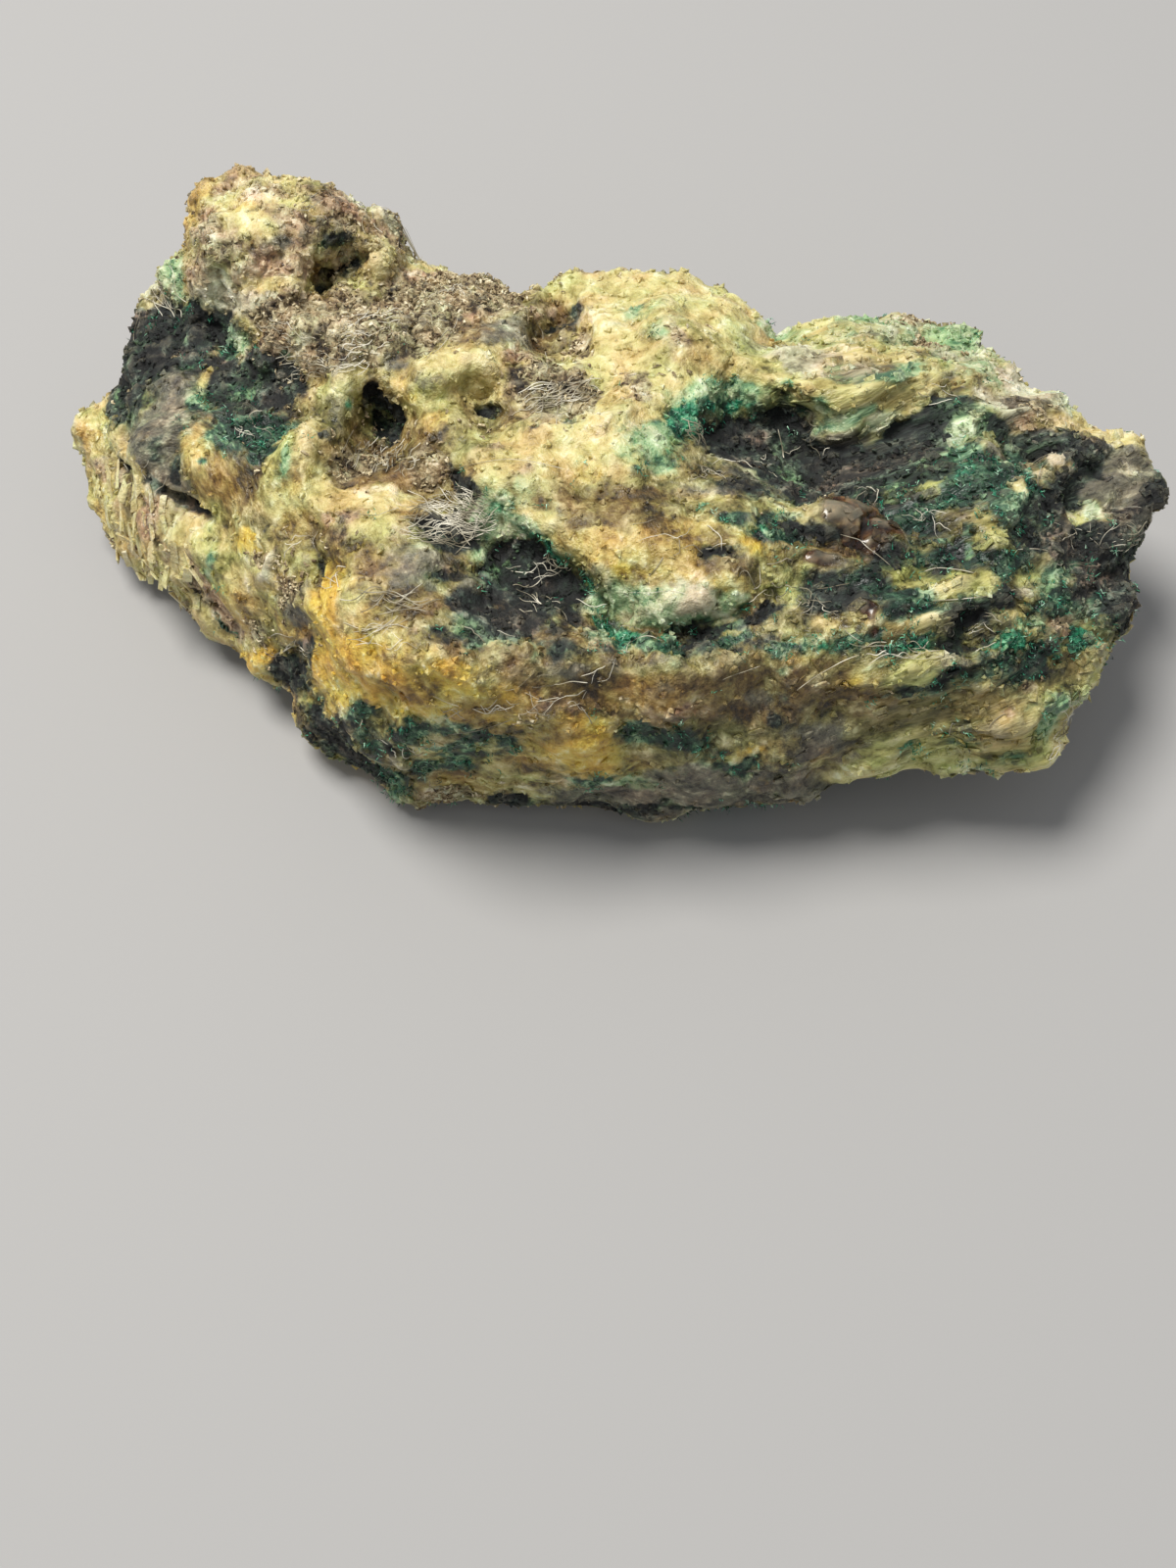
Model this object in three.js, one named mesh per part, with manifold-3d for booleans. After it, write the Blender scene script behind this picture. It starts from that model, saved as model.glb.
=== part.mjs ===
// A hand-sized lump of malachite on quartz, about 52 mm long. It is one broken piece of milky,
// iron-stained quartz, with malachite and dark copper minerals grown in its hollows and along its
// layers, so it is one solid. Millimetres, +X to the right along the stone, +Y towards its back,
// +Z up. It lies on its flat underside, at z = 0.
import * as THREE from "three";
import { TessellateModifier } from "three/addons/modifiers/TessellateModifier.js";
import { mergeVertices } from "three/addons/utils/BufferGeometryUtils.js";
import Module from "manifold-3d";

// The eye that the stone is seen from: its place, how far it looks down, and its half field from
// top to bottom. The picture is measured in its pixels.
const EYE = new THREE.Vector3(-1.1, -63.9, 88.5);
const LOOKS_DOWN = THREE.MathUtils.degToRad(60);
const HALF_FIELD = THREE.MathUtils.degToRad(20);
const PICTURE = { middleAcross: 600, middleDown: 800, halfHeight: 800 };

// The longest edge of a facet on the seen and on the hidden side, and the spacing of the corners
// along the outline.
const SEEN_FACET = 1.25;
const HIDDEN_FACET = 2.6;
const OUTLINE_STEP = 1.05;
const MOST_SPLITS = 40;

// How far the facets are evened out before the roughness is put on, and settled after it.
const EVENING = { rounds: 4, rounding: 0.06 };
const SETTLING = { rounds: 2, rounding: 0.12 };

// The roughness: edges wander sideways, the surface swells, and small lumps stand on it with
// creases between them.
const WANDER = { depth: 0.35, width: 3.3 };
const SWELLS = { depth: 0.55, width: 5.4 };
const LUMPS = { depth: 0.8, width: 2.8 };

// Broken layers at the right end, which carry fewer lumps, and bark-like flakes on the left flank.
// Each begins at one x and is full at another, and both are bent a little.
const LAYERS = { depth: 0.42, width: 2.3, from: 6, full: 14, fewerLumps: 0.5 };
const BARK = { depth: 0.4, width: 1.9, from: -16, full: -20 };
const LAYERS_ACROSS = new THREE.Vector3(-0.36, 0.74, 0.57).normalize();
const BARK_ACROSS = new THREE.Vector3(0.82, 0.5, 0.28).normalize();
const BEND = { depth: 1.2, width: 6 };
const LAYER_BREAKS_AT = 0.75;

// The outline as seen, clockwise from the left tip: across and down the picture, and height in mm.
const OUTLINE = [
  [70, 455, 4], [88, 424, 5.2], [112, 400, 6.4], [113, 365, 7.6], [128, 306, 8.8], [155, 272, 9.4],
  [182, 246, 10.2], [192, 212, 11.2], [216, 182, 12], [242, 167, 12.6], [286, 170, 13.2],
  [322, 184, 13.2], [358, 206, 12.6], [398, 222, 11.8], [418, 254, 10.6], [448, 268, 10.2],
  [492, 272, 10.2], [530, 286, 10], [560, 284, 10.2], [608, 274, 10.8], [662, 271, 11.2],
  [706, 280, 11], [744, 298, 10.6], [776, 318, 10], [792, 340, 9.4], [808, 328, 9.8],
  [856, 320, 10.2], [906, 314, 10.2], [962, 317, 10.2], [1010, 326, 10.2], [1030, 352, 10],
  [1062, 376, 9.8], [1094, 400, 9.6], [1116, 424, 9.5], [1152, 434, 9.2], [1172, 462, 8.8],
  [1190, 500, 8.4], [1182, 536, 8.1], [1168, 562, 7.8], [1164, 612, 7.4], [1158, 650, 7.1],
  [1132, 684, 6.8], [1104, 722, 6.4], [1096, 762, 5.8], [1072, 796, 5], [1024, 805, 4.4],
  [968, 801, 4.1], [920, 796, 4], [872, 800, 3.7], [834, 808, 3], [806, 830, 1.9], [744, 838, 1.2],
  [672, 838, 1], [604, 830, 0.9], [540, 828, 0.9], [470, 826, 0.9], [404, 824, 0.8],
  [384, 798, 0.9], [350, 768, 1.2], [324, 736, 1.9], [311, 702, 2.9], [284, 690, 2.9],
  [250, 682, 2.3], [222, 652, 1.6], [188, 626, 1.3], [148, 592, 1.3], [112, 562, 1.7],
  [92, 530, 2.4], [88, 492, 3.2],
];

// The seen side, one group of points for each form on it.
const SEEN = {
  knob: [
    [222, 232, 14.6], [262, 205, 15.2], [262, 250, 15.1], [316, 214, 15.1], [352, 232, 14.6],
    [386, 250, 13.6], [206, 276, 12.9], [298, 262, 14.4],
  ],
  pitUnderKnob: [[342, 278, 11.3], [366, 262, 11.7], [328, 302, 11.9], [384, 288, 12.6]],
  brownCrust: [
    [256, 304, 12.9], [290, 330, 13.6], [338, 340, 14.2], [384, 322, 13.9], [352, 372, 14],
    [420, 296, 12.2], [432, 330, 13.7], [476, 312, 13.1],
  ],
  squareRecess: [
    [574, 326, 10.6], [558, 344, 10.7], [576, 352, 11.2], [538, 316, 12.8], [604, 312, 13.2],
    [608, 366, 13.4], [534, 366, 13.3], [570, 388, 13.3],
  ],
  leftRecess: [
    [150, 318, 9.4], [146, 352, 8.9], [192, 330, 10], [226, 338, 9.9], [240, 366, 10.6],
    [190, 372, 9.9], [270, 388, 10.8], [236, 418, 11], [282, 416, 11.1],
  ],
  greyFlat: [[136, 398, 8.6], [166, 408, 10.2], [156, 456, 9.8], [126, 440, 8.4]],
  deepCavity: [
    [384, 424, 9.6], [400, 432, 9.4], [390, 450, 9.8], [374, 440, 10.4], [352, 394, 13],
    [382, 382, 13.3], [412, 392, 13.5], [434, 412, 13.8], [436, 454, 13.2], [404, 478, 12.9],
    [362, 468, 12.2], [342, 432, 12.8],
  ],
  yellowLumps: [
    [444, 388, 14.5], [438, 354, 13.7], [484, 362, 14.6], [498, 374, 14.2], [462, 424, 14],
  ],
  smallCavity: [
    [484, 412, 11.9], [498, 420, 11.8], [466, 394, 13.4], [516, 396, 13.1], [520, 430, 13],
    [474, 440, 13.7], [540, 400, 13], [556, 416, 12.6],
  ],
  leftPlateau: [
    [190, 440, 11], [206, 478, 11], [252, 460, 11.5], [260, 504, 11.7], [300, 466, 13.6],
    [306, 506, 13.3], [236, 530, 10.5], [196, 504, 9.4],
  ],
  groove: [[164, 486, 8.5], [188, 514, 8.3], [282, 552, 11.4], [306, 590, 10.8]],
  bark: [
    [122, 470, 6.6], [112, 516, 4.2], [136, 548, 4.3], [160, 540, 6.6], [176, 584, 4.8],
    [212, 560, 8.4], [212, 606, 5.4], [250, 580, 9.6], [246, 632, 5.4], [284, 610, 9],
    [284, 652, 5.8],
  ],
  middleBulge: [
    [334, 520, 13.7], [376, 512, 14], [338, 570, 13.4], [384, 560, 14.2], [420, 588, 14.3],
    [330, 630, 12.2], [366, 632, 13.6], [424, 640, 14], [344, 682, 10.6],
  ],
  slantingRecess: [
    [440, 480, 13], [448, 506, 12.1], [452, 546, 12.7], [492, 556, 12], [536, 586, 11.4],
    [572, 602, 11.5], [500, 600, 12], [468, 622, 13.2], [596, 632, 11.9], [540, 644, 12.7],
  ],
  amberFace: [
    [488, 468, 14.1], [560, 448, 14.6], [630, 424, 14.9], [512, 512, 13.8], [568, 540, 14.1],
    [604, 498, 14], [660, 500, 14], [616, 584, 13.8], [650, 546, 14.5], [714, 552, 14.5],
    [672, 612, 13.4], [744, 596, 14.1], [786, 560, 13.9], [778, 606, 13.3],
  ],
  greenCleft: [[690, 646, 11.9], [736, 630, 11.8], [778, 624, 12.6], [640, 640, 12.3]],
  creamHump: [
    [628, 318, 13.4], [682, 312, 13.3], [732, 326, 12.6], [646, 366, 14.2], [700, 362, 14.1],
    [748, 362, 13.4], [790, 368, 12.4], [676, 396, 14.3], [716, 404, 14],
  ],
  ledge: [
    [828, 358, 12.4], [882, 348, 12.2], [942, 352, 11.9], [798, 392, 13.4], [842, 396, 13.7],
    [890, 392, 13.6], [934, 382, 13.1], [848, 420, 13],
  ],
  darkHollow: [
    [742, 434, 11.4], [790, 430, 10.8], [812, 466, 10.7], [860, 452, 10.9], [912, 436, 11],
    [946, 424, 11.6], [900, 474, 11.3], [846, 496, 11.2], [700, 452, 12.9],
  ],
  greyCrust: [[710, 492, 13.4], [760, 500, 13.5], [804, 528, 13.5], [826, 564, 13.2]],
  brownGlassyLumps: [
    [862, 530, 13.7], [898, 548, 12.4], [846, 580, 13], [884, 612, 13], [866, 650, 12.9],
  ],
  rightField: [
    [980, 372, 12], [1000, 416, 12.4], [966, 452, 11.6], [948, 500, 12.3], [1000, 488, 12.1],
    [936, 556, 12.2], [1004, 552, 12.6], [980, 594, 12.6], [932, 616, 11.8], [1052, 596, 11.3],
    [1062, 550, 11.7],
  ],
  paleRidge: [[1044, 508, 12.3], [1076, 480, 11.8], [1056, 420, 11.7], [1096, 444, 11]],
  rightHollow: [[1050, 462, 10.4], [1092, 504, 10.2], [1082, 536, 10.7]],
  tornEnd: [
    [1136, 470, 10], [1150, 504, 9.5], [1118, 546, 9.8], [1146, 548, 9], [1128, 596, 9],
    [1104, 630, 9.7], [1120, 660, 8.3],
  ],
  blackHole: [
    [988, 646, 11.1], [1002, 654, 10.9], [962, 630, 12.3], [1000, 614, 12.4], [1032, 644, 11.4],
    [1002, 680, 11.1], [962, 664, 12], [944, 664, 12], [1046, 634, 11.2],
  ],
  lowerRight: [[920, 692, 11.3], [980, 698, 10], [1050, 690, 9.6], [1084, 700, 8.4]],
  brow: [
    [392, 680, 13], [452, 676, 13.7], [496, 690, 12.5], [520, 660, 13.3], [560, 684, 12.5],
    [600, 660, 13.2], [636, 690, 12.1], [676, 668, 13.1], [716, 692, 11.9], [752, 668, 12.9],
    [790, 690, 11.7], [816, 660, 12.8], [856, 688, 11.6],
  ],
  upperFront: [
    [362, 708, 10.2], [406, 712, 11.6], [448, 722, 11.1], [482, 716, 11.5], [524, 716, 11.3],
    [560, 728, 10.9], [604, 722, 10.5], [644, 730, 10], [684, 718, 10.9], [728, 722, 10.6],
    [762, 738, 9.1], [800, 720, 10.3], [836, 728, 9.7], [880, 722, 9.6], [926, 730, 9],
  ],
  lowerFront: [
    [366, 744, 6.4], [396, 764, 7.6], [420, 792, 5], [446, 756, 9], [476, 778, 6.2],
    [500, 750, 8.7], [524, 790, 5.3], [556, 766, 8.1], [598, 764, 8.8], [616, 800, 4.4],
    [650, 768, 7.4], [690, 760, 8.5], [700, 794, 5.3], [694, 816, 3], [740, 772, 6.8],
    [762, 800, 4.5], [796, 766, 7.3], [808, 804, 3.8], [844, 764, 7.5], [860, 784, 5.4],
    [894, 762, 7.2], [912, 782, 5.4], [944, 754, 7.5], [956, 782, 5.6], [996, 738, 8.4],
    [1010, 778, 6.2], [1044, 744, 8], [1062, 772, 6.4],
  ],
};

// The side that the eye doesn't see, in millimetres. What is below z = 0 is cut off, which leaves
// the flat face that the stone rests on.
const FOOT = -0.6;
const HIDDEN = {
  foot: [
    [-10, -11.8, FOOT], [-3, -12.6, FOOT], [4, -12.2, FOOT], [9, -10, FOOT], [11.6, -6, FOOT],
    [11, 0, FOOT], [6, 5, FOOT], [-2, 6.6, FOOT], [-10, 6.6, FOOT], [-17, 5, FOOT],
    [-20.5, 1.5, FOOT], [-19, -2, FOOT], [-15.6, -4.6, FOOT], [-12.8, -8, FOOT], [-14, 1, FOOT],
    [-6, -4, FOOT], [3, -4, FOOT], [0, 1, FOOT],
  ],
  back: [
    [-6, 9.4, 3.6], [2, 9, 4.2], [10, 7.6, 3.8], [-14, 9.4, 4.2], [-17, 12.4, 8.2], [-11, 12, 7.4],
    [-3, 10.6, 7.6], [5, 9.8, 7.8], [13, 8.4, 7], [-21, 7, 3.8], [-20.6, 9.6, 7],
  ],
  leftEnd: [[-23.6, 3.4, 2.2], [-22.6, -0.4, 1]],
  rightEnd: [
    [15.4, -10.6, 2.4], [15.4, -4, 1.8], [19.6, -8, 4.4], [20.6, -2.4, 5], [15.8, 2.4, 2.6],
    [20.6, 3.2, 5.8], [17.6, 5.4, 5.4],
  ],
};

// Where a point lies in the picture, and the point at a given height that is seen there.
const AHEAD = new THREE.Vector3(0, Math.cos(LOOKS_DOWN), -Math.sin(LOOKS_DOWN));
const RIGHT = new THREE.Vector3(1, 0, 0);
const UP = new THREE.Vector3().crossVectors(RIGHT, AHEAD);
const FOCAL = PICTURE.halfHeight / Math.tan(HALF_FIELD);

function inPicture(point) {
  const from = point.clone().sub(EYE);
  const scale = FOCAL / from.dot(AHEAD);
  return [PICTURE.middleAcross + from.dot(RIGHT) * scale, PICTURE.middleDown - from.dot(UP) * scale];
}

function seenAt([across, down, height]) {
  const ray = AHEAD.clone().multiplyScalar(FOCAL);
  ray.addScaledVector(RIGHT, across - PICTURE.middleAcross);
  ray.addScaledVector(UP, PICTURE.middleDown - down);
  return EYE.clone().addScaledVector(ray, (height - EYE.z) / ray.z);
}

// Twice the signed area of the triangle a, b, c in the plane.
function turn(a, b, c) {
  return (b[0] - a[0]) * (c[1] - a[1]) - (b[1] - a[1]) * (c[0] - a[0]);
}

function insideCircle(a, b, c, p) {
  const [ax, ay] = [a[0] - p[0], a[1] - p[1]];
  const [bx, by] = [b[0] - p[0], b[1] - p[1]];
  const [cx, cy] = [c[0] - p[0], c[1] - p[1]];
  const lifted =
    (ax * ax + ay * ay) * (bx * cy - cx * by) -
    (bx * bx + by * by) * (ax * cy - cx * ay) +
    (cx * cx + cy * cy) * (ax * by - bx * ay);
  return lifted * Math.sign(turn(a, b, c)) > 0;
}

function insidePolygon(polygon, [x, y]) {
  let inside = false;
  polygon.forEach(([x1, y1], i) => {
    const [x2, y2] = polygon[(i + 1) % polygon.length];
    if (y1 > y !== y2 > y && x < x1 + ((y - y1) / (y2 - y1)) * (x2 - x1)) inside = !inside;
  });
  return inside;
}

// Delaunay triangles over flat points, whose first ones are the outline: only those inside it are
// kept. They start from one triangle that holds all the points.
const FAR = 20000;
const named = (a, b) => Math.min(a, b) + " " + Math.max(a, b);

function triangulate(flat, outlineCount) {
  const n = flat.length;
  const points = [...flat, [-FAR, -FAR], [FAR, -FAR], [0, FAR]];
  let triangles = [[n, n + 1, n + 2]];
  for (let i = 0; i < n; i++) {
    const open = new Map();
    triangles = triangles.filter((t) => {
      if (!insideCircle(points[t[0]], points[t[1]], points[t[2]], points[i])) return true;
      for (let k = 0; k < 3; k++) {
        const [a, b] = [t[k], t[(k + 1) % 3]];
        const key = named(a, b);
        if (open.has(key)) open.delete(key);
        else open.set(key, [a, b]);
      }
      return false;
    });
    for (const [a, b] of open.values()) triangles.push([a, b, i]);
  }
  const outline = flat.slice(0, outlineCount);
  const kept = triangles.filter((t) => {
    if (Math.max(...t) >= n) return false;
    const middle = [0, 1].map((k) => (flat[t[0]][k] + flat[t[1]][k] + flat[t[2]][k]) / 3);
    return insidePolygon(outline, middle);
  });
  const edges = new Set(kept.flatMap(([a, b, c]) => [named(a, b), named(b, c), named(c, a)]));
  outline.forEach((at, i) => {
    if (!edges.has(named(i, (i + 1) % outlineCount)))
      throw new Error("the triangles miss the outline's edge at " + at);
  });
  return kept;
}

// The corners of the triangles between the outline and one side's points, facing the eye or away
// from it.
function side(outline, inner, facesEye) {
  const corners = [...outline, ...inner];
  const flat = corners.map(inPicture);
  return triangulate(flat, outline.length).flatMap(([a, b, c]) => {
    const towardsEye = turn(flat[a], flat[b], flat[c]) < 0;
    const order = towardsEye === facesEye ? [a, b, c] : [a, c, b];
    return order.flatMap((i) => corners[i].toArray());
  });
}

// The same corners with no edge longer than the facet, as plain numbers.
function refined(corners, facet) {
  const geometry = new THREE.BufferGeometry();
  geometry.setAttribute("position", new THREE.Float32BufferAttribute(corners, 3));
  const fine = new TessellateModifier(facet, MOST_SPLITS).modify(geometry);
  return [...fine.attributes.position.array];
}

function roughBlock() {
  const loop = new THREE.CatmullRomCurve3(OUTLINE.map(seenAt), true, "centripetal");
  const steps = Math.ceil(loop.getLength() / OUTLINE_STEP);
  const outline = loop.getSpacedPoints(steps).slice(0, -1);
  const seen = Object.values(SEEN).flat().map(seenAt);
  const hidden = Object.values(HIDDEN).flat().map((p) => new THREE.Vector3(...p));
  const front = refined(side(outline, seen, true), SEEN_FACET);
  const back = refined(side(outline, hidden, false), HIDDEN_FACET);
  const geometry = new THREE.BufferGeometry();
  geometry.setAttribute("position", new THREE.Float32BufferAttribute([...front, ...back], 3));
  return mergeVertices(geometry, 1e-3);
}

function neighboursOf(geometry) {
  const found = Array.from({ length: geometry.attributes.position.count }, () => new Set());
  const index = geometry.index.array;
  for (let i = 0; i < index.length; i += 3)
    for (let k = 0; k < 3; k++) {
      found[index[i + k]].add(index[i + ((k + 1) % 3)]);
      found[index[i + ((k + 1) % 3)]].add(index[i + k]);
    }
  return found.map((s) => [...s]);
}

// Moves each vertex towards the middle of its neighbours: evenly along the surface, and by the
// share `rounding` across it.
function relax(geometry, { rounds, rounding }) {
  const neighbours = neighboursOf(geometry);
  const position = geometry.attributes.position;
  for (let round = 0; round < rounds; round++) {
    geometry.computeVertexNormals();
    const normal = geometry.attributes.normal;
    const before = neighbours.map((_, i) => new THREE.Vector3().fromBufferAttribute(position, i));
    neighbours.forEach((around, i) => {
      const move = new THREE.Vector3();
      for (const j of around) move.add(before[j]);
      move.divideScalar(around.length).sub(before[i]);
      const n = new THREE.Vector3().fromBufferAttribute(normal, i);
      move.addScaledVector(n, -move.dot(n) * (1 - rounding)).multiplyScalar(0.5);
      position.setXYZ(i, before[i].x + move.x, before[i].y + move.y, before[i].z + move.z);
    });
  }
}

// A random value from -1 to 1, the same for the same whole numbers on every run. The scattering
// numbers are large and odd.
const SCATTER = [374761393, 668265263, 2147483629];
const SCATTER_AGAIN = [1274126177, 2246822519];
const HALF_RANGE = 2 ** 31;

function chance(i, j, k) {
  let h = Math.imul(i, SCATTER[0]) ^ Math.imul(j, SCATTER[1]) ^ Math.imul(k, SCATTER[2]);
  for (const factor of SCATTER_AGAIN) h = Math.imul(h ^ (h >>> 14), factor);
  return ((h ^ (h >>> 15)) >>> 0) / HALF_RANGE - 1;
}

// Random heights about `width` apart, blended smoothly between.
function noise(point, width) {
  const at = point.clone().divideScalar(width);
  const [i, j, k] = at.toArray().map(Math.floor);
  const [u, v, w] = [at.x - i, at.y - j, at.z - k].map((t) => t * t * (3 - 2 * t));
  const mix = THREE.MathUtils.lerp;
  const edge = (dj, dk) => mix(chance(i, j + dj, k + dk), chance(i + 1, j + dj, k + dk), u);
  return mix(mix(edge(0, 0), edge(1, 0), v), mix(edge(0, 1), edge(1, 1), v), w);
}

// A saw-toothed height across a stack of thin layers: each rises slowly and breaks off.
function brokenLayers(distance, width) {
  const share = distance / width - Math.floor(distance / width);
  const rise = share / LAYER_BREAKS_AT;
  const fall = (1 - share) / (1 - LAYER_BREAKS_AT);
  return Math.min(rise, fall) - 0.5;
}

// How far a point stands out of the smooth form.
function roughnessAt(point) {
  const bend = BEND.depth * noise(point, BEND.width);
  const layered = THREE.MathUtils.smoothstep(point.x, LAYERS.from, LAYERS.full);
  const flaked = THREE.MathUtils.smoothstep(-point.x, -BARK.from, -BARK.full);
  const swell = SWELLS.depth * noise(point, SWELLS.width);
  const lump = LUMPS.depth * (Math.abs(noise(point, LUMPS.width)) - 0.25);
  const layer = LAYERS.depth * brokenLayers(point.dot(LAYERS_ACROSS) + bend, LAYERS.width);
  const flake = BARK.depth * brokenLayers(point.dot(BARK_ACROSS) + bend, BARK.width);
  return swell + lump * (1 - LAYERS.fewerLumps * layered) + layer * layered + flake * flaked;
}

// Three places far apart, whose noise moves a point along x, y and z.
const ELSEWHERE = [37, 71, 113];

function roughen(geometry) {
  geometry.computeVertexNormals();
  const { position, normal } = geometry.attributes;
  for (let i = 0; i < position.count; i++) {
    const point = new THREE.Vector3().fromBufferAttribute(position, i);
    const n = new THREE.Vector3().fromBufferAttribute(normal, i);
    const aside = ELSEWHERE.map((far) => noise(point.clone().addScalar(far), WANDER.width));
    const moved = new THREE.Vector3(...aside).multiplyScalar(WANDER.depth).add(point);
    moved.addScaledVector(n, roughnessAt(point));
    position.setXYZ(i, moved.x, moved.y, moved.z);
  }
}

const wasm = await Module();
wasm.setup();

function solidOf(geometry) {
  const vertProperties = new Float32Array(geometry.attributes.position.array);
  const triVerts = new Uint32Array(geometry.index.array);
  return new wasm.Manifold(new wasm.Mesh({ numProp: 3, vertProperties, triVerts }));
}

function geometryOf(solid) {
  const mesh = solid.getMesh();
  const geometry = new THREE.BufferGeometry();
  geometry.setAttribute("position", new THREE.BufferAttribute(mesh.vertProperties, 3));
  geometry.setIndex(new THREE.BufferAttribute(mesh.triVerts, 1));
  return geometry;
}

// Takes off all that is below z = 0, which leaves the flat face that the stone lies on, and moves
// the middle of the rest to x = 0 and y = 0.
const GROUND = { side: 200, depth: 20 };

function cutFlat(geometry) {
  const ground = new THREE.BoxGeometry(GROUND.side, GROUND.side, GROUND.depth);
  ground.translate(0, 0, -GROUND.depth / 2);
  ground.deleteAttribute("normal");
  ground.deleteAttribute("uv");
  const lying = geometryOf(solidOf(geometry).subtract(solidOf(mergeVertices(ground))));
  lying.computeBoundingBox();
  const middle = lying.boundingBox.getCenter(new THREE.Vector3());
  return lying.translate(-middle.x, -middle.y, 0);
}

const block = roughBlock();
relax(block, EVENING);
roughen(block);
relax(block, SETTLING);
const stone = new THREE.Mesh(
  cutFlat(block),
  new THREE.MeshStandardMaterial({ color: 0xb59a5c, roughness: 0.75, metalness: 0 }),
);
stone.name = "stone";

const specimen = new THREE.Group();
specimen.add(stone);

export default specimen;
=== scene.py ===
import math

import bpy
import numpy as np
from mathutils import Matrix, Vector, noise
from mathutils.bvhtree import BVHTree


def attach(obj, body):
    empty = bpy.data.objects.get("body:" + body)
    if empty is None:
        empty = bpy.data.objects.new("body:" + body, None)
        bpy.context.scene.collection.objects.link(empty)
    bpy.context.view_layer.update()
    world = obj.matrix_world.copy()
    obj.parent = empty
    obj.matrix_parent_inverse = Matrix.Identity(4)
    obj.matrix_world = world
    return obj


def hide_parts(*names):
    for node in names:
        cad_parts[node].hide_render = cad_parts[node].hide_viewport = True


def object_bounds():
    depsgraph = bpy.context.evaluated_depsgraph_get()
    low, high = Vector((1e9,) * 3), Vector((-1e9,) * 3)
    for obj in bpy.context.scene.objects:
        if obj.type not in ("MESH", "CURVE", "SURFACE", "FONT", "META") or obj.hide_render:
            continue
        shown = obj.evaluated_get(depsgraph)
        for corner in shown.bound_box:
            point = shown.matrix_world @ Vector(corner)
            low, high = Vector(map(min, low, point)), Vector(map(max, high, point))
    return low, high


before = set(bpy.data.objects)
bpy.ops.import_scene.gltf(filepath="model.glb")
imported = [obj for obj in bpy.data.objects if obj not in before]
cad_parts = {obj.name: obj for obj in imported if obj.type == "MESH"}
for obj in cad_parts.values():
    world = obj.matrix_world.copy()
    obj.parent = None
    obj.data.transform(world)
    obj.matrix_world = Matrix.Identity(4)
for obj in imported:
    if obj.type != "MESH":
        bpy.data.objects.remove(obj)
cad_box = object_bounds()

# The view
# The stone is seen from in front and above, from about 11 cm away, at the photograph's angle and framing.
# Pixels of that picture, 1200 across and 1600 down, name places on the stone all through this script.
MM = 0.001
EYE_MM = np.array((-0.631, -63.157, 88.5))
LOOKS_DOWN = math.radians(60)
HALF_FIELD = math.radians(20)
PICTURE_MIDDLE = (600, 800)
PICTURE_HALF_HEIGHT = 800
FILM_HEIGHT_MM = 36

TO_RIGHT = np.array((1.0, 0.0, 0.0))
AHEAD = np.array((0.0, math.cos(LOOKS_DOWN), -math.sin(LOOKS_DOWN)))
PICTURE_UP = np.array((0.0, math.sin(LOOKS_DOWN), math.cos(LOOKS_DOWN)))

camera_data = bpy.data.cameras.new("camera")
camera_data.sensor_fit = "VERTICAL"
camera_data.sensor_height = FILM_HEIGHT_MM
camera_data.sensor_width = FILM_HEIGHT_MM
camera_data.lens = FILM_HEIGHT_MM / 2 / math.tan(HALF_FIELD)
camera_data.clip_start = 0.005
camera_data.clip_end = 5.0
camera = bpy.data.objects.new("camera", camera_data)
camera.location = Vector(EYE_MM * MM)
camera.rotation_euler = (math.radians(90) - LOOKS_DOWN, 0, 0)
bpy.context.scene.collection.objects.link(camera)
bpy.context.scene.camera = camera


def way_through(across, down):
    """The direction from the eye through a pixel of the picture."""
    focal = PICTURE_HALF_HEIGHT / math.tan(HALF_FIELD)
    sideways = (across - PICTURE_MIDDLE[0]) / focal
    upwards = (PICTURE_MIDDLE[1] - down) / focal
    way = AHEAD + sideways * TO_RIGHT + upwards * PICTURE_UP
    return way / np.linalg.norm(way)


# The stone: its form
# One lump broken from a vein of milky and iron-stained quartz, with malachite and black copper ores in its
# hollows. It starts as the solid's own surface, made finer, and gets the relief too small for the solid.
SPLITS = 2
EASING_ROUNDS = 3
EASING = 0.45


def split_each_triangle(points, corners):
    """Each triangle becomes four, by the middles of its sides."""
    sides = np.sort(np.concatenate([corners[:, [0, 1]], corners[:, [1, 2]], corners[:, [2, 0]]]), axis=1)
    keys = sides[:, 0].astype(np.int64) * len(points) + sides[:, 1]
    _, first, which = np.unique(keys, return_index=True, return_inverse=True)
    middles = points[sides[first]].mean(axis=1)
    ab, bc, ca = which.reshape(3, -1) + len(points)
    a, b, c = corners.T
    pieces = [(a, ab, ca), (ab, b, bc), (ca, bc, c), (ab, bc, ca)]
    finer = np.concatenate([np.stack(piece, axis=1) for piece in pieces])
    return np.concatenate([points, middles]), finer


def facing(points, corners):
    """The outward direction at each point, from the triangles round it."""
    a, b, c = (points[corners[:, k]] for k in range(3))
    across = np.cross(b - a, c - a)
    total = np.zeros_like(points)
    for k in range(3):
        np.add.at(total, corners[:, k], across)
    return total / np.maximum(np.linalg.norm(total, axis=1, keepdims=True), 1e-12)


def eased(points, corners, rounds, share):
    """Points moved towards the middle of their neighbours, so the solid's facets soften."""
    ends = np.concatenate([corners[:, [0, 1]], corners[:, [1, 2]], corners[:, [2, 0]]])
    ends = np.concatenate([ends, ends[:, ::-1]])
    counts = np.bincount(ends[:, 0], minlength=len(points))[:, None]
    for _ in range(rounds):
        sums = np.stack(
            [np.bincount(ends[:, 0], points[ends[:, 1], k], len(points)) for k in range(3)], axis=1
        )
        points = points + share * (sums / counts - points)
    return points


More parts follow.
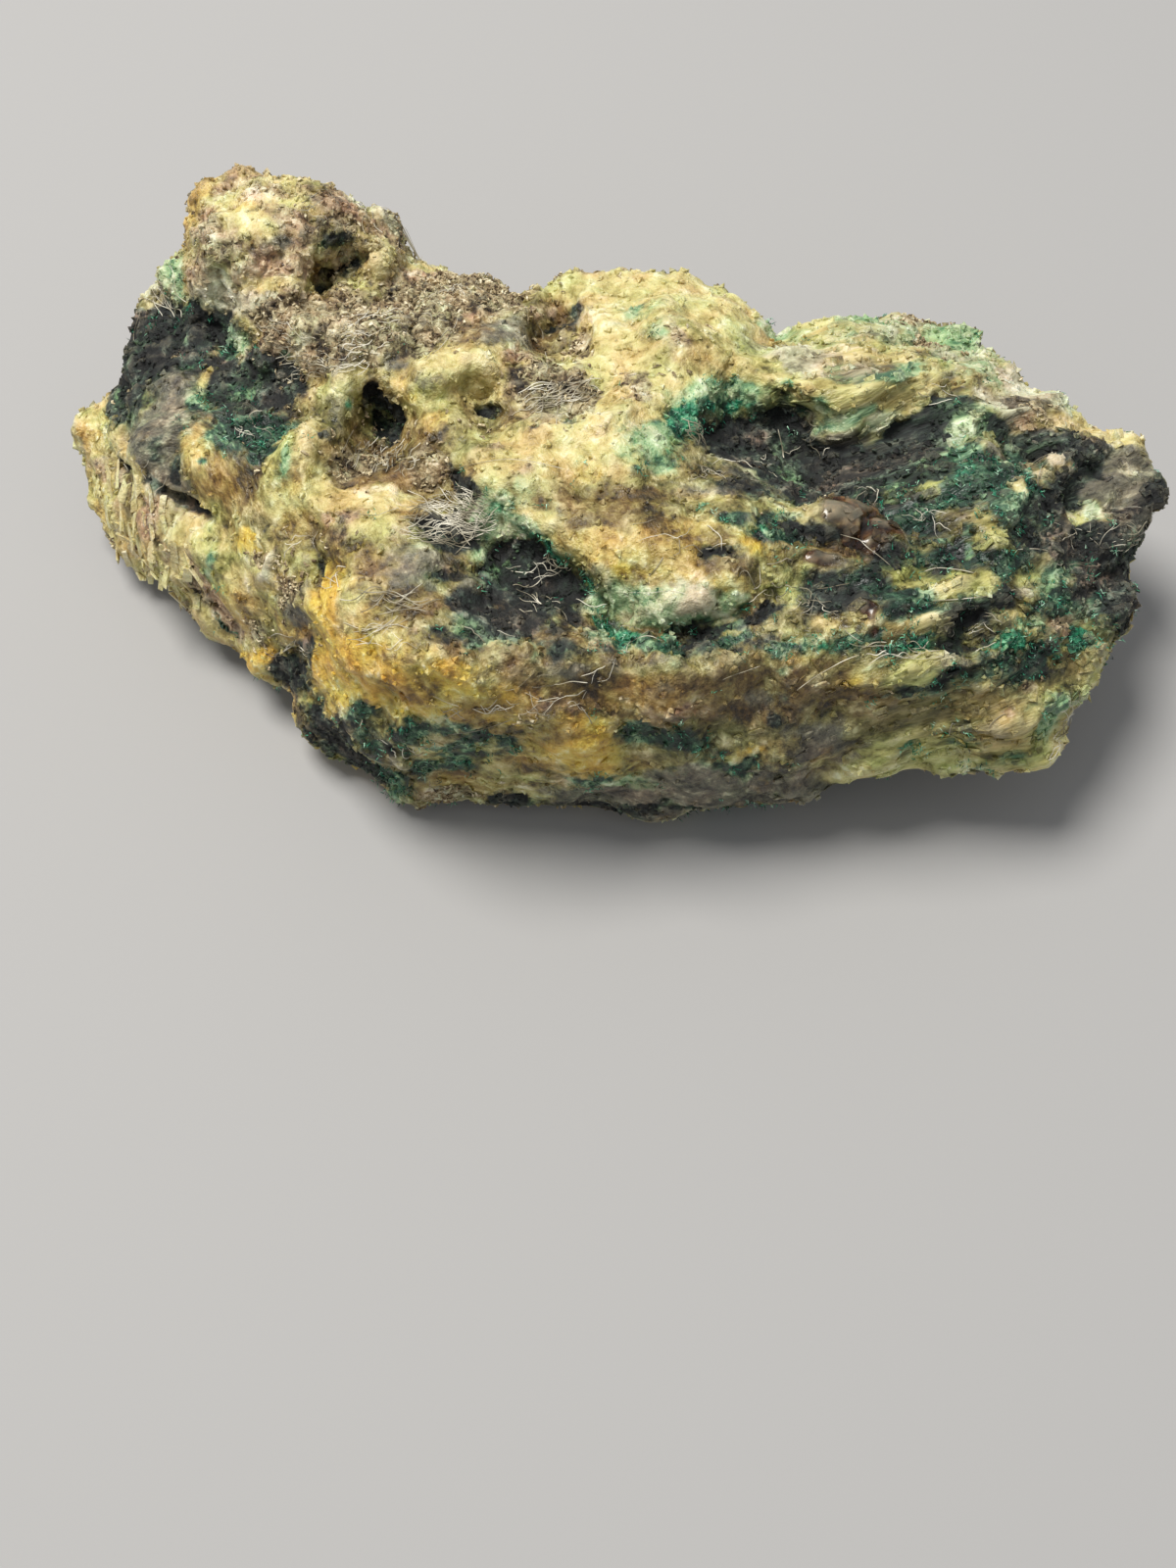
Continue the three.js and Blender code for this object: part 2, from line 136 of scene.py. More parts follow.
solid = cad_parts["stone"].data
solid.calc_loop_triangles()
raw_points = np.array([v.co for v in solid.vertices]) / MM
raw_corners = np.array([t.vertices for t in solid.loop_triangles])
_, kept, same = np.unique(np.round(raw_points, 4), axis=0, return_index=True, return_inverse=True)
points = raw_points[kept]
corners = same.reshape(-1)[raw_corners]
corners = corners[np.all(corners != np.roll(corners, 1, axis=1), axis=1)]
for _ in range(SPLITS):
    points, corners = split_each_triangle(points, corners)
lies_flat = points[:, 2] < 0.01
points = eased(points, corners, EASING_ROUNDS, EASING)
points[lies_flat, 2] = 0.0
outward = facing(points, corners)
surface = BVHTree.FromPolygons(points.tolist(), corners.tolist())
STONE_MIDDLE = (600, 550)
DRAWN_IN = 0.02


def on_stone(across, down):
    """Where the line of sight through a pixel meets the stone. One that just misses is drawn inwards."""
    while True:
        place, _, _, _ = surface.ray_cast(Vector(EYE_MM), Vector(way_through(across, down)))
        if place is not None:
            return np.array(place)
        across += DRAWN_IN * (STONE_MIDDLE[0] - across)
        down += DRAWN_IN * (STONE_MIDDLE[1] - down)


def grain_noise(width_mm, seed, octaves=3, where=points):
    """Rough noise from -1 to 1 at each point of the stone, with lumps about this wide."""
    shift = Vector((17.3, -9.1, 5.7)) * seed
    return np.array([noise.fractal(Vector(p) / width_mm + shift, 0.9, 2.0, octaves) for p in where])


# The rims of the ovals wander, so that no patch has a smooth outline.
WANDER_MM = 1.5
WANDER_SHARE = 0.4
wander = np.stack([grain_noise(WANDER_MM, seed) for seed in (1, 2, 3)], axis=1)
wandered = points + WANDER_SHARE * wander


def patch(across, down, half_length, half_width, tilt):
    """How far each point is from the middle of a ragged oval on the stone, as a share of the way to its rim,
    squared. Half length and half width are in mm, and tilt is in degrees, up to the right in the picture."""
    angle = math.radians(tilt)
    along = math.cos(angle) * TO_RIGHT + math.sin(angle) * PICTURE_UP
    aside = -math.sin(angle) * TO_RIGHT + math.cos(angle) * PICTURE_UP
    offset = wandered - on_stone(across, down)
    reach = 1.5 * max(half_length, half_width)
    over_the_oval = (offset @ along / half_length) ** 2 + (offset @ aside / half_width) ** 2
    return over_the_oval + (offset @ AHEAD / reach) ** 2


# Where each mineral lies: across, down, half length, half width, tilt, and how strongly it holds its place.
CREAM = [
    (285, 177, 1.2, 0.5, -10, 0.8), (302, 206, 1.6, 1.0, -20, 0.8), (344, 195, 1.2, 0.6, -25, 0.6),
    (225, 205, 0.8, 0.6, 50, 0.9), (252, 228, 1.3, 0.9, 0, 0.9), (395, 250, 0.8, 0.6, -40, 0.6),
    (275, 292, 1.6, 0.7, -5, 1.4), (426, 271, 1.2, 0.6, -10, 0.9), (336, 264, 0.4, 0.35, 0, 0.9),
    (385, 266, 0.4, 0.35, 0, 1.0), (365, 293, 0.45, 0.3, 0, 0.7), (208, 385, 0.5, 0.7, 0, 0.9),
    (104, 412, 0.8, 0.5, 0, 0.9), (317, 446, 1.5, 0.4, 85, 1.4), (310, 497, 1.2, 0.6, 70, 1.0),
    (480, 376, 1.5, 1.0, -20, 6.0), (495, 386, 0.7, 0.5, 0, 1.2), (593, 293, 1.5, 0.6, 15, 1.0),
    (619, 336, 1.6, 2.0, 0, 1.2), (619, 402, 1.0, 1.6, 0, 1.0), (677, 298, 2.4, 0.8, -5, 1.2),
    (732, 306, 2.6, 1.0, -25, 1.2), (769, 333, 1.0, 0.8, -30, 1.0), (640, 360, 2.0, 1.5, 0, 0.9),
    (688, 390, 1.3, 0.6, 10, 1.2), (580, 455, 3.4, 1.0, 5, 1.5), (520, 470, 2.0, 0.9, 10, 1.2),
    (660, 425, 1.3, 0.6, 10, 1.3), (740, 375, 1.6, 0.7, 0, 3.0), (775, 387, 0.9, 0.4, 0, 1.3),
    (870, 403, 2.1, 0.8, 8, 2.4), (845, 395, 1.8, 0.9, 10, 1.4), (902, 405, 1.3, 0.7, 25, 4.0),
    (824, 361, 1.4, 1.2, 0, 1.1), (847, 329, 1.2, 0.6, 5, 1.0), (900, 360, 1.8, 0.9, 10, 1.0),
    (942, 378, 1.6, 0.7, 20, 2.6), (960, 345, 1.4, 0.6, 0, 0.8), (880, 345, 1.4, 0.7, 0, 0.9),
    (1139, 441, 1.3, 0.5, -25, 2.2), (1112, 428, 0.9, 0.5, -30, 2.0), (1036, 499, 0.9, 0.45, 40, 1.5),
    (947, 628, 0.8, 0.6, 30, 1.6), (1040, 631, 1.3, 0.35, 5, 0.9), (1068, 668, 0.6, 0.4, 0, 0.6),
    (1078, 752, 1.1, 0.6, 60, 4.0), (1038, 790, 1.2, 0.3, 5, 1.8), (885, 782, 1.3, 0.5, 25, 1.4),
    (837, 573, 0.5, 0.3, 0, 0.8), (840, 637, 1.2, 0.4, 15, 0.5), (504, 783, 1.2, 0.5, -5, 0.6),
    (542, 813, 0.8, 0.4, 0, 0.8), (782, 589, 0.9, 0.6, 0, 0.6), (1088, 778, 0.8, 0.4, 60, 1.0),
    (400, 507, 1.8, 0.7, 5, 1.1), (345, 505, 1.2, 0.9, 0, 0.9), (650, 470, 2.0, 0.9, 0, 0.6),
    (545, 530, 1.4, 0.5, -25, 2.4), (112, 500, 1.2, 0.4, 80, 1.4), (125, 548, 1.2, 0.7, 60, 2.0),
    (136, 478, 1.4, 0.3, -52, 2.0), (180, 572, 1.1, 0.7, 65, 3.0), (190, 538, 0.6, 0.4, 30, 1.4),
    (165, 590, 1.8, 0.5, -45, 3.5), (205, 624, 1.6, 0.5, -50, 3.5), (250, 595, 1.2, 0.9, 20, 3.0),
    (385, 532, 1.6, 0.6, 5, 1.6), (362, 382, 1.2, 0.6, 0, 1.6), (125, 525, 1.2, 0.4, 75, 1.6),
    (1030, 765, 1.8, 0.6, 5, 3.0),
    (358, 615, 1.0, 0.9, 0, 0.9), (395, 650, 1.3, 0.8, 0, 0.8), (290, 520, 1.0, 0.6, 0, 0.6),
]
CHALK = [
    (140, 290, 0.7, 0.3, 40, 1.2), (392, 215, 1.2, 0.7, -40, 1.1), (350, 205, 1.0, 0.6, -20, 0.8),
    (1053, 380, 1.5, 0.5, -15, 1.2), (310, 350, 1.2, 0.6, 0, 0.6), (345, 375, 1.4, 0.5, 0, 0.7),
    (1072, 395, 1.2, 0.5, -40, 1.2), (1087, 414, 0.8, 0.5, -40, 1.0), (1015, 412, 1.6, 0.6, 20, 0.6),
    (1072, 475, 0.9, 0.25, 50, 1.2), (858, 445, 1.0, 0.5, 10, 1.2), (971, 434, 0.8, 0.9, 40, 0.5),
    (1145, 483, 1.0, 0.5, 15, 0.6), (967, 673, 0.7, 0.3, 20, 0.7), (1049, 602, 1.2, 0.4, 10, 0.7),
    (1015, 801, 1.6, 0.4, 0, 0.8), (404, 776, 0.6, 0.3, 80, 1.8), (276, 581, 0.9, 0.3, 50, 1.6),
    (254, 598, 0.6, 0.3, 40, 1.0), (700, 616, 1.6, 0.8, 5, 5.0), (645, 612, 1.6, 0.5, 0, 2.0),
    (535, 475, 1.2, 0.5, 5, 0.5), (620, 330, 0.9, 0.9, 0, 0.5), (431, 563, 0.8, 0.5, 0, 0.6),
    (765, 482, 2.2, 0.4, -15, 1.6), (722, 466, 1.4, 0.5, 0, 1.6), (1160, 545, 0.8, 0.3, 20, 0.8),
    (890, 342, 2.4, 0.8, 5, 0.9), (960, 360, 1.4, 0.7, 10, 0.8), (1076, 755, 1.0, 0.5, 60, 1.0),
    (215, 298, 0.9, 0.7, 0, 2.4), (255, 306, 1.6, 0.5, 0, 2.4), (520, 335, 1.6, 0.6, 0, 0.8),
    (815, 362, 1.8, 0.8, 0, 2.4), (885, 378, 1.8, 0.6, 10, 2.4), (900, 425, 1.0, 0.5, 25, 2.0),
]
GOLD = [
    (424, 402, 0.9, 0.6, 10, 0.7), (450, 386, 0.9, 0.6, 30, 0.9), (331, 630, 1.9, 0.6, 82, 2.0),
    (352, 686, 1.4, 0.8, 0, 6.0), (461, 692, 1.1, 0.5, 15, 4.0), (596, 768, 1.6, 0.7, 0, 3.5),
    (400, 692, 1.2, 0.6, 0, 1.6), (244, 676, 1.2, 0.5, -25, 1.0), (270, 668, 0.8, 0.5, 0, 0.8),
    (249, 553, 0.7, 0.4, 0, 2.4), (650, 580, 2.2, 0.7, -5, 0.6), (740, 590, 1.0, 0.6, 0, 0.6),
    (769, 554, 1.0, 0.7, 0, 1.0), (520, 715, 1.6, 0.7, 0, 0.8), (875, 700, 0.9, 0.5, 10, 0.9),
    (773, 766, 1.0, 0.4, 5, 0.6), (500, 738, 1.6, 0.5, 0, 0.7), (430, 728, 1.4, 0.5, 0, 0.8),
    (1024, 733, 0.8, 0.6, 20, 0.4), (255, 612, 0.8, 0.6, 0, 0.6), (375, 662, 1.6, 0.6, 0, 2.0),
    (600, 738, 1.8, 0.5, 0, 0.8),
]
STRAW = [
    (1050, 772, 1.6, 0.7, 10, 4.0), (98, 428, 0.8, 0.9, 0, 1.3), (283, 468, 1.0, 0.4, 60, 2.0),
    (213, 548, 1.4, 0.5, 80, 1.2), (228, 575, 1.2, 0.6, 60, 1.0), (890, 352, 2.4, 0.9, 5, 1.0),
    (228, 602, 1.4, 0.6, -60, 1.2), (1085, 760, 0.8, 0.5, 60, 1.6), (950, 365, 1.4, 0.7, 15, 0.8),
    (262, 580, 1.2, 0.8, 20, 0.9), (432, 402, 1.2, 0.8, 20, 1.6), (455, 384, 0.8, 0.6, 30, 1.0),
    (1010, 765, 1.6, 0.7, 0, 1.6), (345, 396, 1.0, 0.6, 0, 3.0), (378, 498, 0.6, 0.4, 0, 0.6),
    (772, 370, 1.2, 0.9, 0, 2.2), (792, 358, 0.8, 0.6, 0, 1.2), (705, 340, 1.0, 0.8, 0, 0.5),
    (892, 376, 1.4, 0.6, 10, 1.0), (930, 390, 1.2, 0.5, 25, 1.0), (830, 345, 1.0, 0.6, 0, 0.6),
    (740, 508, 1.2, 0.4, 10, 1.1), (762, 530, 1.2, 0.4, 0, 1.0), (790, 600, 1.4, 0.5, 0, 1.0),
    (815, 612, 0.8, 0.4, 0, 0.9), (1013, 552, 0.8, 0.8, -10, 5.0), (980, 594, 1.4, 0.7, 10, 5.0),
    (925, 590, 1.0, 0.5, 10, 3.0), (950, 497, 0.7, 0.4, 20, 1.2), (1010, 530, 0.6, 0.6, 0, 1.0),
    (1097, 528, 0.7, 0.5, 0, 1.3), (925, 688, 1.4, 0.45, 20, 1.6), (1045, 588, 1.4, 0.5, 20, 1.1),
    (1005, 700, 1.4, 0.5, 15, 0.7), (1055, 748, 1.4, 0.8, 40, 3.0), (1085, 745, 1.0, 0.8, 60, 3.0),
    (1000, 775, 1.8, 0.5, 5, 1.5), (950, 768, 1.4, 0.6, 0, 1.3), (890, 774, 1.4, 0.6, 20, 1.4),
    (965, 748, 1.4, 0.7, 0, 0.9), (1105, 700, 1.0, 0.5, 40, 1.1), (860, 640, 1.2, 0.3, 10, 0.6),
    (800, 645, 1.0, 0.3, 5, 0.6), (435, 772, 1.0, 0.5, 0, 1.2), (500, 763, 1.6, 0.4, 0, 0.8),
    (540, 790, 1.2, 0.4, 0, 0.7), (745, 772, 1.2, 0.3, 0, 0.5), (820, 580, 0.8, 0.5, 0, 0.8),
]
ROSY = [
    (264, 190, 0.9, 0.5, 0, 0.9), (300, 225, 1.4, 0.8, -10, 1.0), (345, 215, 1.6, 0.7, -20, 1.1),
    (270, 272, 1.6, 0.6, 0, 1.3), (225, 240, 1.0, 0.8, 0, 0.9), (400, 245, 0.9, 0.7, -40, 1.0),
    (175, 560, 1.8, 0.6, 65, 1.4), (225, 620, 1.2, 0.4, -50, 0.9), (205, 600, 1.4, 0.6, -50, 2.0),
    (425, 280, 1.0, 0.6, 0, 1.0), (300, 300, 1.8, 0.5, 0, 0.8), (215, 215, 1.2, 0.6, 50, 0.8),
    (208, 290, 1.0, 0.8, 0, 1.2), (350, 330, 2.0, 0.6, 0, 0.7), (445, 295, 1.6, 0.6, 0, 0.9),
    (480, 320, 1.6, 0.8, 0, 0.8), (535, 360, 1.4, 0.8, 0, 0.9), (560, 325, 1.0, 0.8, 0, 0.8),
    (400, 330, 1.2, 0.8, 0, 0.6), (510, 458, 1.2, 0.7, 0, 0.7), (540, 482, 2.0, 0.5, 5, 0.7),
    (650, 575, 2.0, 0.7, -5, 0.5), (745, 572, 1.0, 0.6, 0, 0.7), (692, 362, 0.9, 0.7, 0, 0.7),
    (345, 525, 1.4, 0.8, 0, 0.9), (402, 540, 1.2, 0.6, 0, 0.7), (388, 662, 1.4, 0.8, 0, 0.9),
    (425, 640, 1.2, 0.6, 0, 0.7), (140, 560, 1.4, 0.5, -50, 0.8), (185, 600, 1.2, 0.4, -50, 0.9),
    (240, 640, 1.2, 0.5, -40, 0.9), (108, 480, 1.0, 0.5, 80, 0.8), (700, 725, 3.0, 0.8, 0, 0.6),
    (560, 720, 2.0, 0.8, 0, 0.6), (830, 705, 1.6, 0.8, 0, 0.6), (1030, 722, 0.9, 0.6, 10, 0.2),
    (880, 600, 0.8, 0.6, 0, 0.6), (890, 568, 0.8, 0.5, 0, 0.6), (1080, 635, 1.0, 0.5, 10, 1.2),
    (1050, 425, 1.2, 0.6, 0, 0.7), (985, 530, 0.9, 0.5, 0, 0.6), (150, 525, 1.8, 0.6, 70, 1.0),
    (300, 200, 1.4, 0.6, -10, 0.8), (345, 262, 0.9, 0.5, 0, 0.9), (120, 510, 1.6, 0.5, 80, 0.7),
]
HONEY = [
    (250, 210, 1.0, 0.6, 0, 0.4), (600, 300, 1.4, 0.6, 0, 0.4), (445, 430, 0.8, 0.5, 0, 0.7),
    (200, 460, 1.2, 0.8, -70, 0.8), (470, 372, 1.0, 0.6, 0, 0.7), (405, 390, 0.6, 0.4, 0, 0.5),
    (720, 363, 1.4, 0.8, 10, 0.6), (697, 368, 0.9, 0.6, 0, 0.5), (790, 350, 0.9, 0.5, 0, 0.6),
    (593, 480, 3.0, 0.5, 3, 0.8), (640, 550, 3.4, 0.9, -3, 0.8), (600, 545, 1.6, 0.4, -20, 0.7),
    (690, 580, 2.6, 0.7, -5, 0.6), (360, 590, 1.2, 1.0, 0, 0.7), (375, 625, 1.4, 0.8, 0, 0.7),
    (357, 690, 1.6, 0.9, 0, 0.8), (430, 668, 1.4, 0.5, 10, 0.8), (300, 500, 1.0, 1.0, 0, 0.5),
    (105, 520, 1.2, 0.5, 80, 2.0), (130, 556, 0.8, 0.6, 0, 2.4), (150, 575, 1.4, 0.4, -50, 2.4),
    (215, 635, 1.4, 0.4, -45, 2.0), (249, 555, 0.8, 0.5, 0, 0.6), (96, 440, 0.8, 0.6, 0, 0.7),
    (390, 692, 1.4, 0.5, 0, 0.8), (425, 705, 1.4, 0.4, 0, 0.7), (808, 672, 1.4, 0.4, 15, 0.5),
    (196, 210, 1.2, 0.4, 60, 1.2), (245, 612, 1.6, 1.0, 0, 2.4),
]
BROWN = [
    (645, 506, 2.4, 0.7, -3, 1.4), (590, 510, 2.0, 0.5, 0, 0.8), (710, 697, 3.0, 0.8, 0, 0.6),
    (385, 575, 1.4, 0.8, 0, 1.4), (415, 455, 1.2, 0.7, 0, 4.0), (435, 616, 1.6, 1.0, 0, 4.0),
    (555, 662, 2.4, 0.7, 0, 5.0), (645, 668, 2.4, 0.5, 0, 2.0), (500, 664, 1.6, 0.6, 0, 2.0),
    (400, 482, 1.8, 0.8, 0, 5.0), (745, 578, 1.2, 0.7, 0, 2.4), (572, 412, 1.2, 0.5, 15, 2.0),
    (800, 697, 3.4, 0.8, 0, 2.2), (640, 735, 3.0, 0.9, 0, 0.7), (785, 727, 2.6, 0.9, 0, 1.6),
    (840, 758, 1.2, 1.3, 0, 0.9), (590, 705, 1.8, 1.2, 0, 0.7), (600, 668, 1.6, 0.6, 0, 0.8),
    (720, 730, 2.0, 0.7, 0, 0.7), (880, 740, 1.4, 0.8, 0, 0.6), (445, 620, 1.4, 0.8, 0, 0.9),
    (500, 735, 2.6, 0.8, 0, 0.4), (590, 690, 2.0, 0.8, 0, 0.6), (880, 712, 1.6, 0.8, 0, 1.8),
    (340, 545, 1.2, 0.8, 0, 0.5), (470, 660, 2.0, 0.8, 0, 0.8), (520, 660, 1.6, 0.7, 0, 0.9),
    (740, 545, 1.4, 0.6, 0, 0.5), (252, 498, 1.2, 1.2, 0, 1.1), (610, 532, 2.0, 0.6, 0, 2.0),
    (895, 605, 1.2, 0.7, -20, 1.2), (860, 560, 1.2, 0.6, 0, 0.9), (330, 200, 1.6, 0.9, -10, 0.4),
    (375, 232, 1.6, 0.6, -20, 0.8), (250, 262, 1.2, 0.4, 20, 0.8), (330, 242, 1.2, 0.4, 0, 0.8),
    (600, 345, 0.5, 1.2, 0, 0.5), (550, 350, 1.2, 0.8, 0, 1.0), (490, 335, 1.2, 0.8, 0, 2.4),
    (568, 335, 0.9, 0.8, 0, 3.0), (460, 790, 2.0, 0.8, 0, 0.7), (1050, 700, 1.6, 0.5, 10, 0.6),
    (130, 520, 1.8, 0.6, 75, 0.8), (170, 540, 1.6, 0.6, 65, 0.8), (505, 420, 0.8, 0.5, 0, 0.9),
]
AMBER = [
    (259, 228, 1.6, 0.9, 10, 0.3), (319, 278, 0.6, 0.8, 0, 0.5), (242, 500, 2.0, 0.9, -20, 1.0),
    (700, 560, 3.6, 1.4, -5, 1.3), (748, 596, 1.2, 0.6, 0, 0.7), (640, 705, 4.0, 1.2, 0, 1.0),
    (760, 705, 3.2, 1.0, 0, 0.7), (500, 718, 3.2, 1.0, 0, 1.0), (415, 700, 2.4, 0.8, 0, 0.8),
    (395, 640, 2.0, 1.0, 0, 0.5), (360, 565, 1.6, 0.9, 0, 0.5), (420, 525, 1.2, 0.7, 0, 0.5),
    (850, 700, 2.0, 0.9, 0, 0.7), (220, 650, 1.6, 0.5, -45, 0.6), (590, 765, 2.4, 0.8, 0, 0.7),
    (470, 800, 2.0, 0.6, 0, 0.6), (879, 700, 1.0, 0.6, 10, 0.7), (975, 387, 0.8, 0.5, 0, 0.6),
    (1003, 711, 0.9, 0.4, 30, 0.5), (560, 740, 2.0, 0.6, 0, 0.6), (290, 640, 1.2, 1.0, 0, 0.5),
    (300, 525, 1.2, 0.9, 0, 0.5), (880, 640, 0.9, 0.6, 0, 0.5),
]
OLIVE = [
    (336, 300, 0.8, 0.5, 0, 0.8), (340, 415, 1.3, 0.9, 0, 1.2), (203, 256, 0.9, 0.5, 20, 0.6),
    (140, 305, 0.7, 0.5, 0, 0.7), (479, 455, 1.0, 0.8, 0, 0.8), (670, 489, 1.6, 0.4, 0, 0.6),
    (801, 636, 1.6, 0.6, 0, 0.9), (796, 603, 1.2, 0.5, 0, 0.6), (743, 512, 1.4, 0.5, 10, 0.7),
    (1080, 690, 2.4, 0.6, 15, 0.9), (606, 667, 1.8, 0.5, 0, 1.3), (453, 757, 1.6, 0.6, 0, 0.8),
    (450, 628, 1.6, 0.9, 0, 2.2), (940, 735, 2.4, 1.0, 0, 1.0), (700, 770, 2.4, 0.5, 0, 0.8),
    (660, 678, 2.4, 0.4, 0, 0.9), (400, 575, 1.2, 0.9, 0, 0.9),
    (560, 790, 2.0, 0.6, 0, 0.6), (380, 740, 1.6, 0.8, 0, 0.5), (1011, 452, 1.0, 0.5, 10, 0.6),
    (960, 545, 1.6, 0.8, 10, 0.6), (262, 620, 1.4, 0.9, -50, 0.7), (530, 745, 2.0, 0.6, 0, 0.5),
    (740, 672, 1.8, 0.4, 5, 1.1), (690, 345, 1.2, 0.8, 0, 0.4), (500, 672, 2.0, 0.6, 0, 0.8),
    (455, 605, 1.2, 0.8, 0, 1.0), (555, 675, 2.2, 0.5, 0, 0.6), (635, 620, 1.4, 0.4, 0, 0.4),
    (1060, 570, 1.6, 0.5, 20, 0.8), (985, 530, 1.2, 0.5, 20, 0.8), (1080, 545, 1.4, 0.4, 20, 0.7),
    (1030, 745, 1.6, 0.8, 15, 0.9), (660, 765, 1.6, 0.5, 0, 0.8), (860, 735, 2.0, 0.8, 0, 0.8),
    (900, 745, 1.4, 0.8, 0, 0.8), (1090, 700, 1.2, 0.6, 30, 0.8), (990, 705, 2.6, 0.8, 15, 0.9),
    (750, 745, 3.0, 0.9, 0, 0.8), (850, 655, 2.4, 0.6, 0, 0.8), (930, 650, 2.0, 0.6, 10, 0.7),
    (990, 650, 2.4, 0.7, 10, 0.7), (712, 468, 1.4, 0.9, 0, 3.0), (755, 505, 1.8, 0.6, -10, 2.0),
    (262, 535, 1.1, 0.8, 0, 1.3), (340, 270, 0.9, 0.5, 0, 1.0), (740, 662, 2.2, 0.4, 5, 1.0),
]
CRUST = [
    (268, 190, 1.2, 0.6, 0, 0.5), (215, 230, 1.0, 0.6, 45, 0.5), (225, 250, 1.2, 0.5, 0, 0.5),
    (350, 225, 1.4, 0.6, -20, 0.6), (395, 225, 1.4, 0.6, -40, 0.7), (320, 225, 1.2, 0.5, 0, 0.4),
    (300, 315, 3.0, 0.9, -5, 1.0), (375, 335, 2.6, 1.2, 10, 1.2),
    (278, 350, 1.6, 1.0, 0, 1.0), (340, 362, 2.2, 0.8, 0, 1.2), (433, 325, 1.6, 2.0, 0, 1.2),
    (470, 305, 2.2, 1.2, 0, 1.6), (535, 390, 1.6, 1.0, 0, 1.6), (595, 350, 0.5, 1.4, 0, 0.8),
    (657, 392, 0.9, 1.0, 60, 1.0), (695, 347, 0.9, 0.8, 0, 0.9), (582, 408, 1.4, 0.9, 30, 2.4),
    (363, 474, 2.0, 0.8, 0, 1.2), (443, 484, 1.4, 0.8, -40, 0.7), (346, 545, 1.0, 0.8, 0, 0.6),
    (268, 569, 0.8, 0.5, 0, 0.8), (262, 645, 1.2, 0.8, 60, 0.7), (290, 610, 1.2, 0.9, 0, 0.6),
    (650, 712, 1.4, 0.5, 0, 0.3), (755, 725, 1.0, 0.4, 0, 0.3), (560, 735, 1.2, 0.5, 0, 0.4),
    (530, 737, 1.4, 0.5, 0, 0.3), (453, 812, 1.6, 0.5, 0, 0.6), (135, 590, 1.6, 0.3, -45, 0.8),
    (167, 624, 1.4, 0.3, -40, 0.8), (950, 315, 1.2, 0.4, 5, 0.6), (1053, 698, 1.0, 0.4, 10, 0.9),
    (893, 708, 1.0, 0.5, 0, 0.6), (748, 490, 2.2, 0.8, -8, 0.6), (801, 515, 1.4, 0.5, 0, 0.5),
    (1049, 420, 1.4, 0.7, 0, 0.6), (940, 350, 1.8, 0.8, 0, 0.5), (420, 472, 1.4, 0.8, 0, 1.2),
]
GREY = [
    (288, 248, 0.9, 0.5, 0, 0.6), (210, 291, 1.0, 0.9, 0, 0.5), (163, 436, 2.2, 1.0, 70, 2.2),
    (181, 383, 1.0, 0.8, 0, 0.7), (415, 580, 1.6, 1.0, 0, 3.0), (440, 600, 1.0, 0.7, 0, 2.0),
    (484, 604, 0.7, 0.6, 0, 1.7), (515, 335, 2.0, 1.0, 5, 2.0), (530, 673, 2.2, 0.7, 0, 0.9),
    (581, 680, 2.0, 0.6, 0, 1.2), (778, 722, 2.0, 0.8, 0, 1.4), (842, 756, 1.6, 0.8, 0, 2.2),
    (720, 807, 4.0, 0.7, 0, 1.0), (814, 802, 0.9, 0.5, 0, 1.0), (632, 812, 2.0, 0.5, 0, 0.7),
    (581, 818, 1.5, 0.4, 0, 0.8), (1149, 500, 1.6, 1.2, 20, 0.8), (1164, 458, 0.9, 0.5, -20, 0.9),
    (927, 340, 1.4, 0.5, 0, 0.5), (693, 478, 1.0, 0.6, -20, 0.6), (1120, 490, 1.8, 0.8, 20, 0.9),
    (407, 369, 0.6, 0.6, 0, 0.9), (1042, 416, 1.6, 0.9, 10, 1.0), (1150, 530, 1.4, 0.5, 20, 0.8),
    (745, 500, 1.8, 0.6, -10, 2.4), (860, 452, 1.3, 0.5, 10, 2.4), (760, 485, 2.4, 0.6, -15, 2.4),
    (1140, 475, 1.4, 0.5, 10, 0.8), (820, 745, 1.4, 0.6, 0, 0.7), (940, 445, 1.6, 0.3, 30, 1.0),
    (905, 462, 1.4, 0.3, 25, 0.9), (720, 790, 2.4, 0.5, 0, 0.8), (590, 812, 1.4, 0.5, 0, 0.9),
    (1015, 460, 1.0, 0.5, 0, 0.8), (175, 497, 1.1, 0.45, -15, 1.5), (790, 500, 1.2, 0.5, 0, 0.9),
    (880, 355, 2.4, 0.8, 5, 0.4), (970, 380, 1.4, 0.6, 20, 0.6), (300, 625, 0.9, 0.6, 0, 0.8),
]
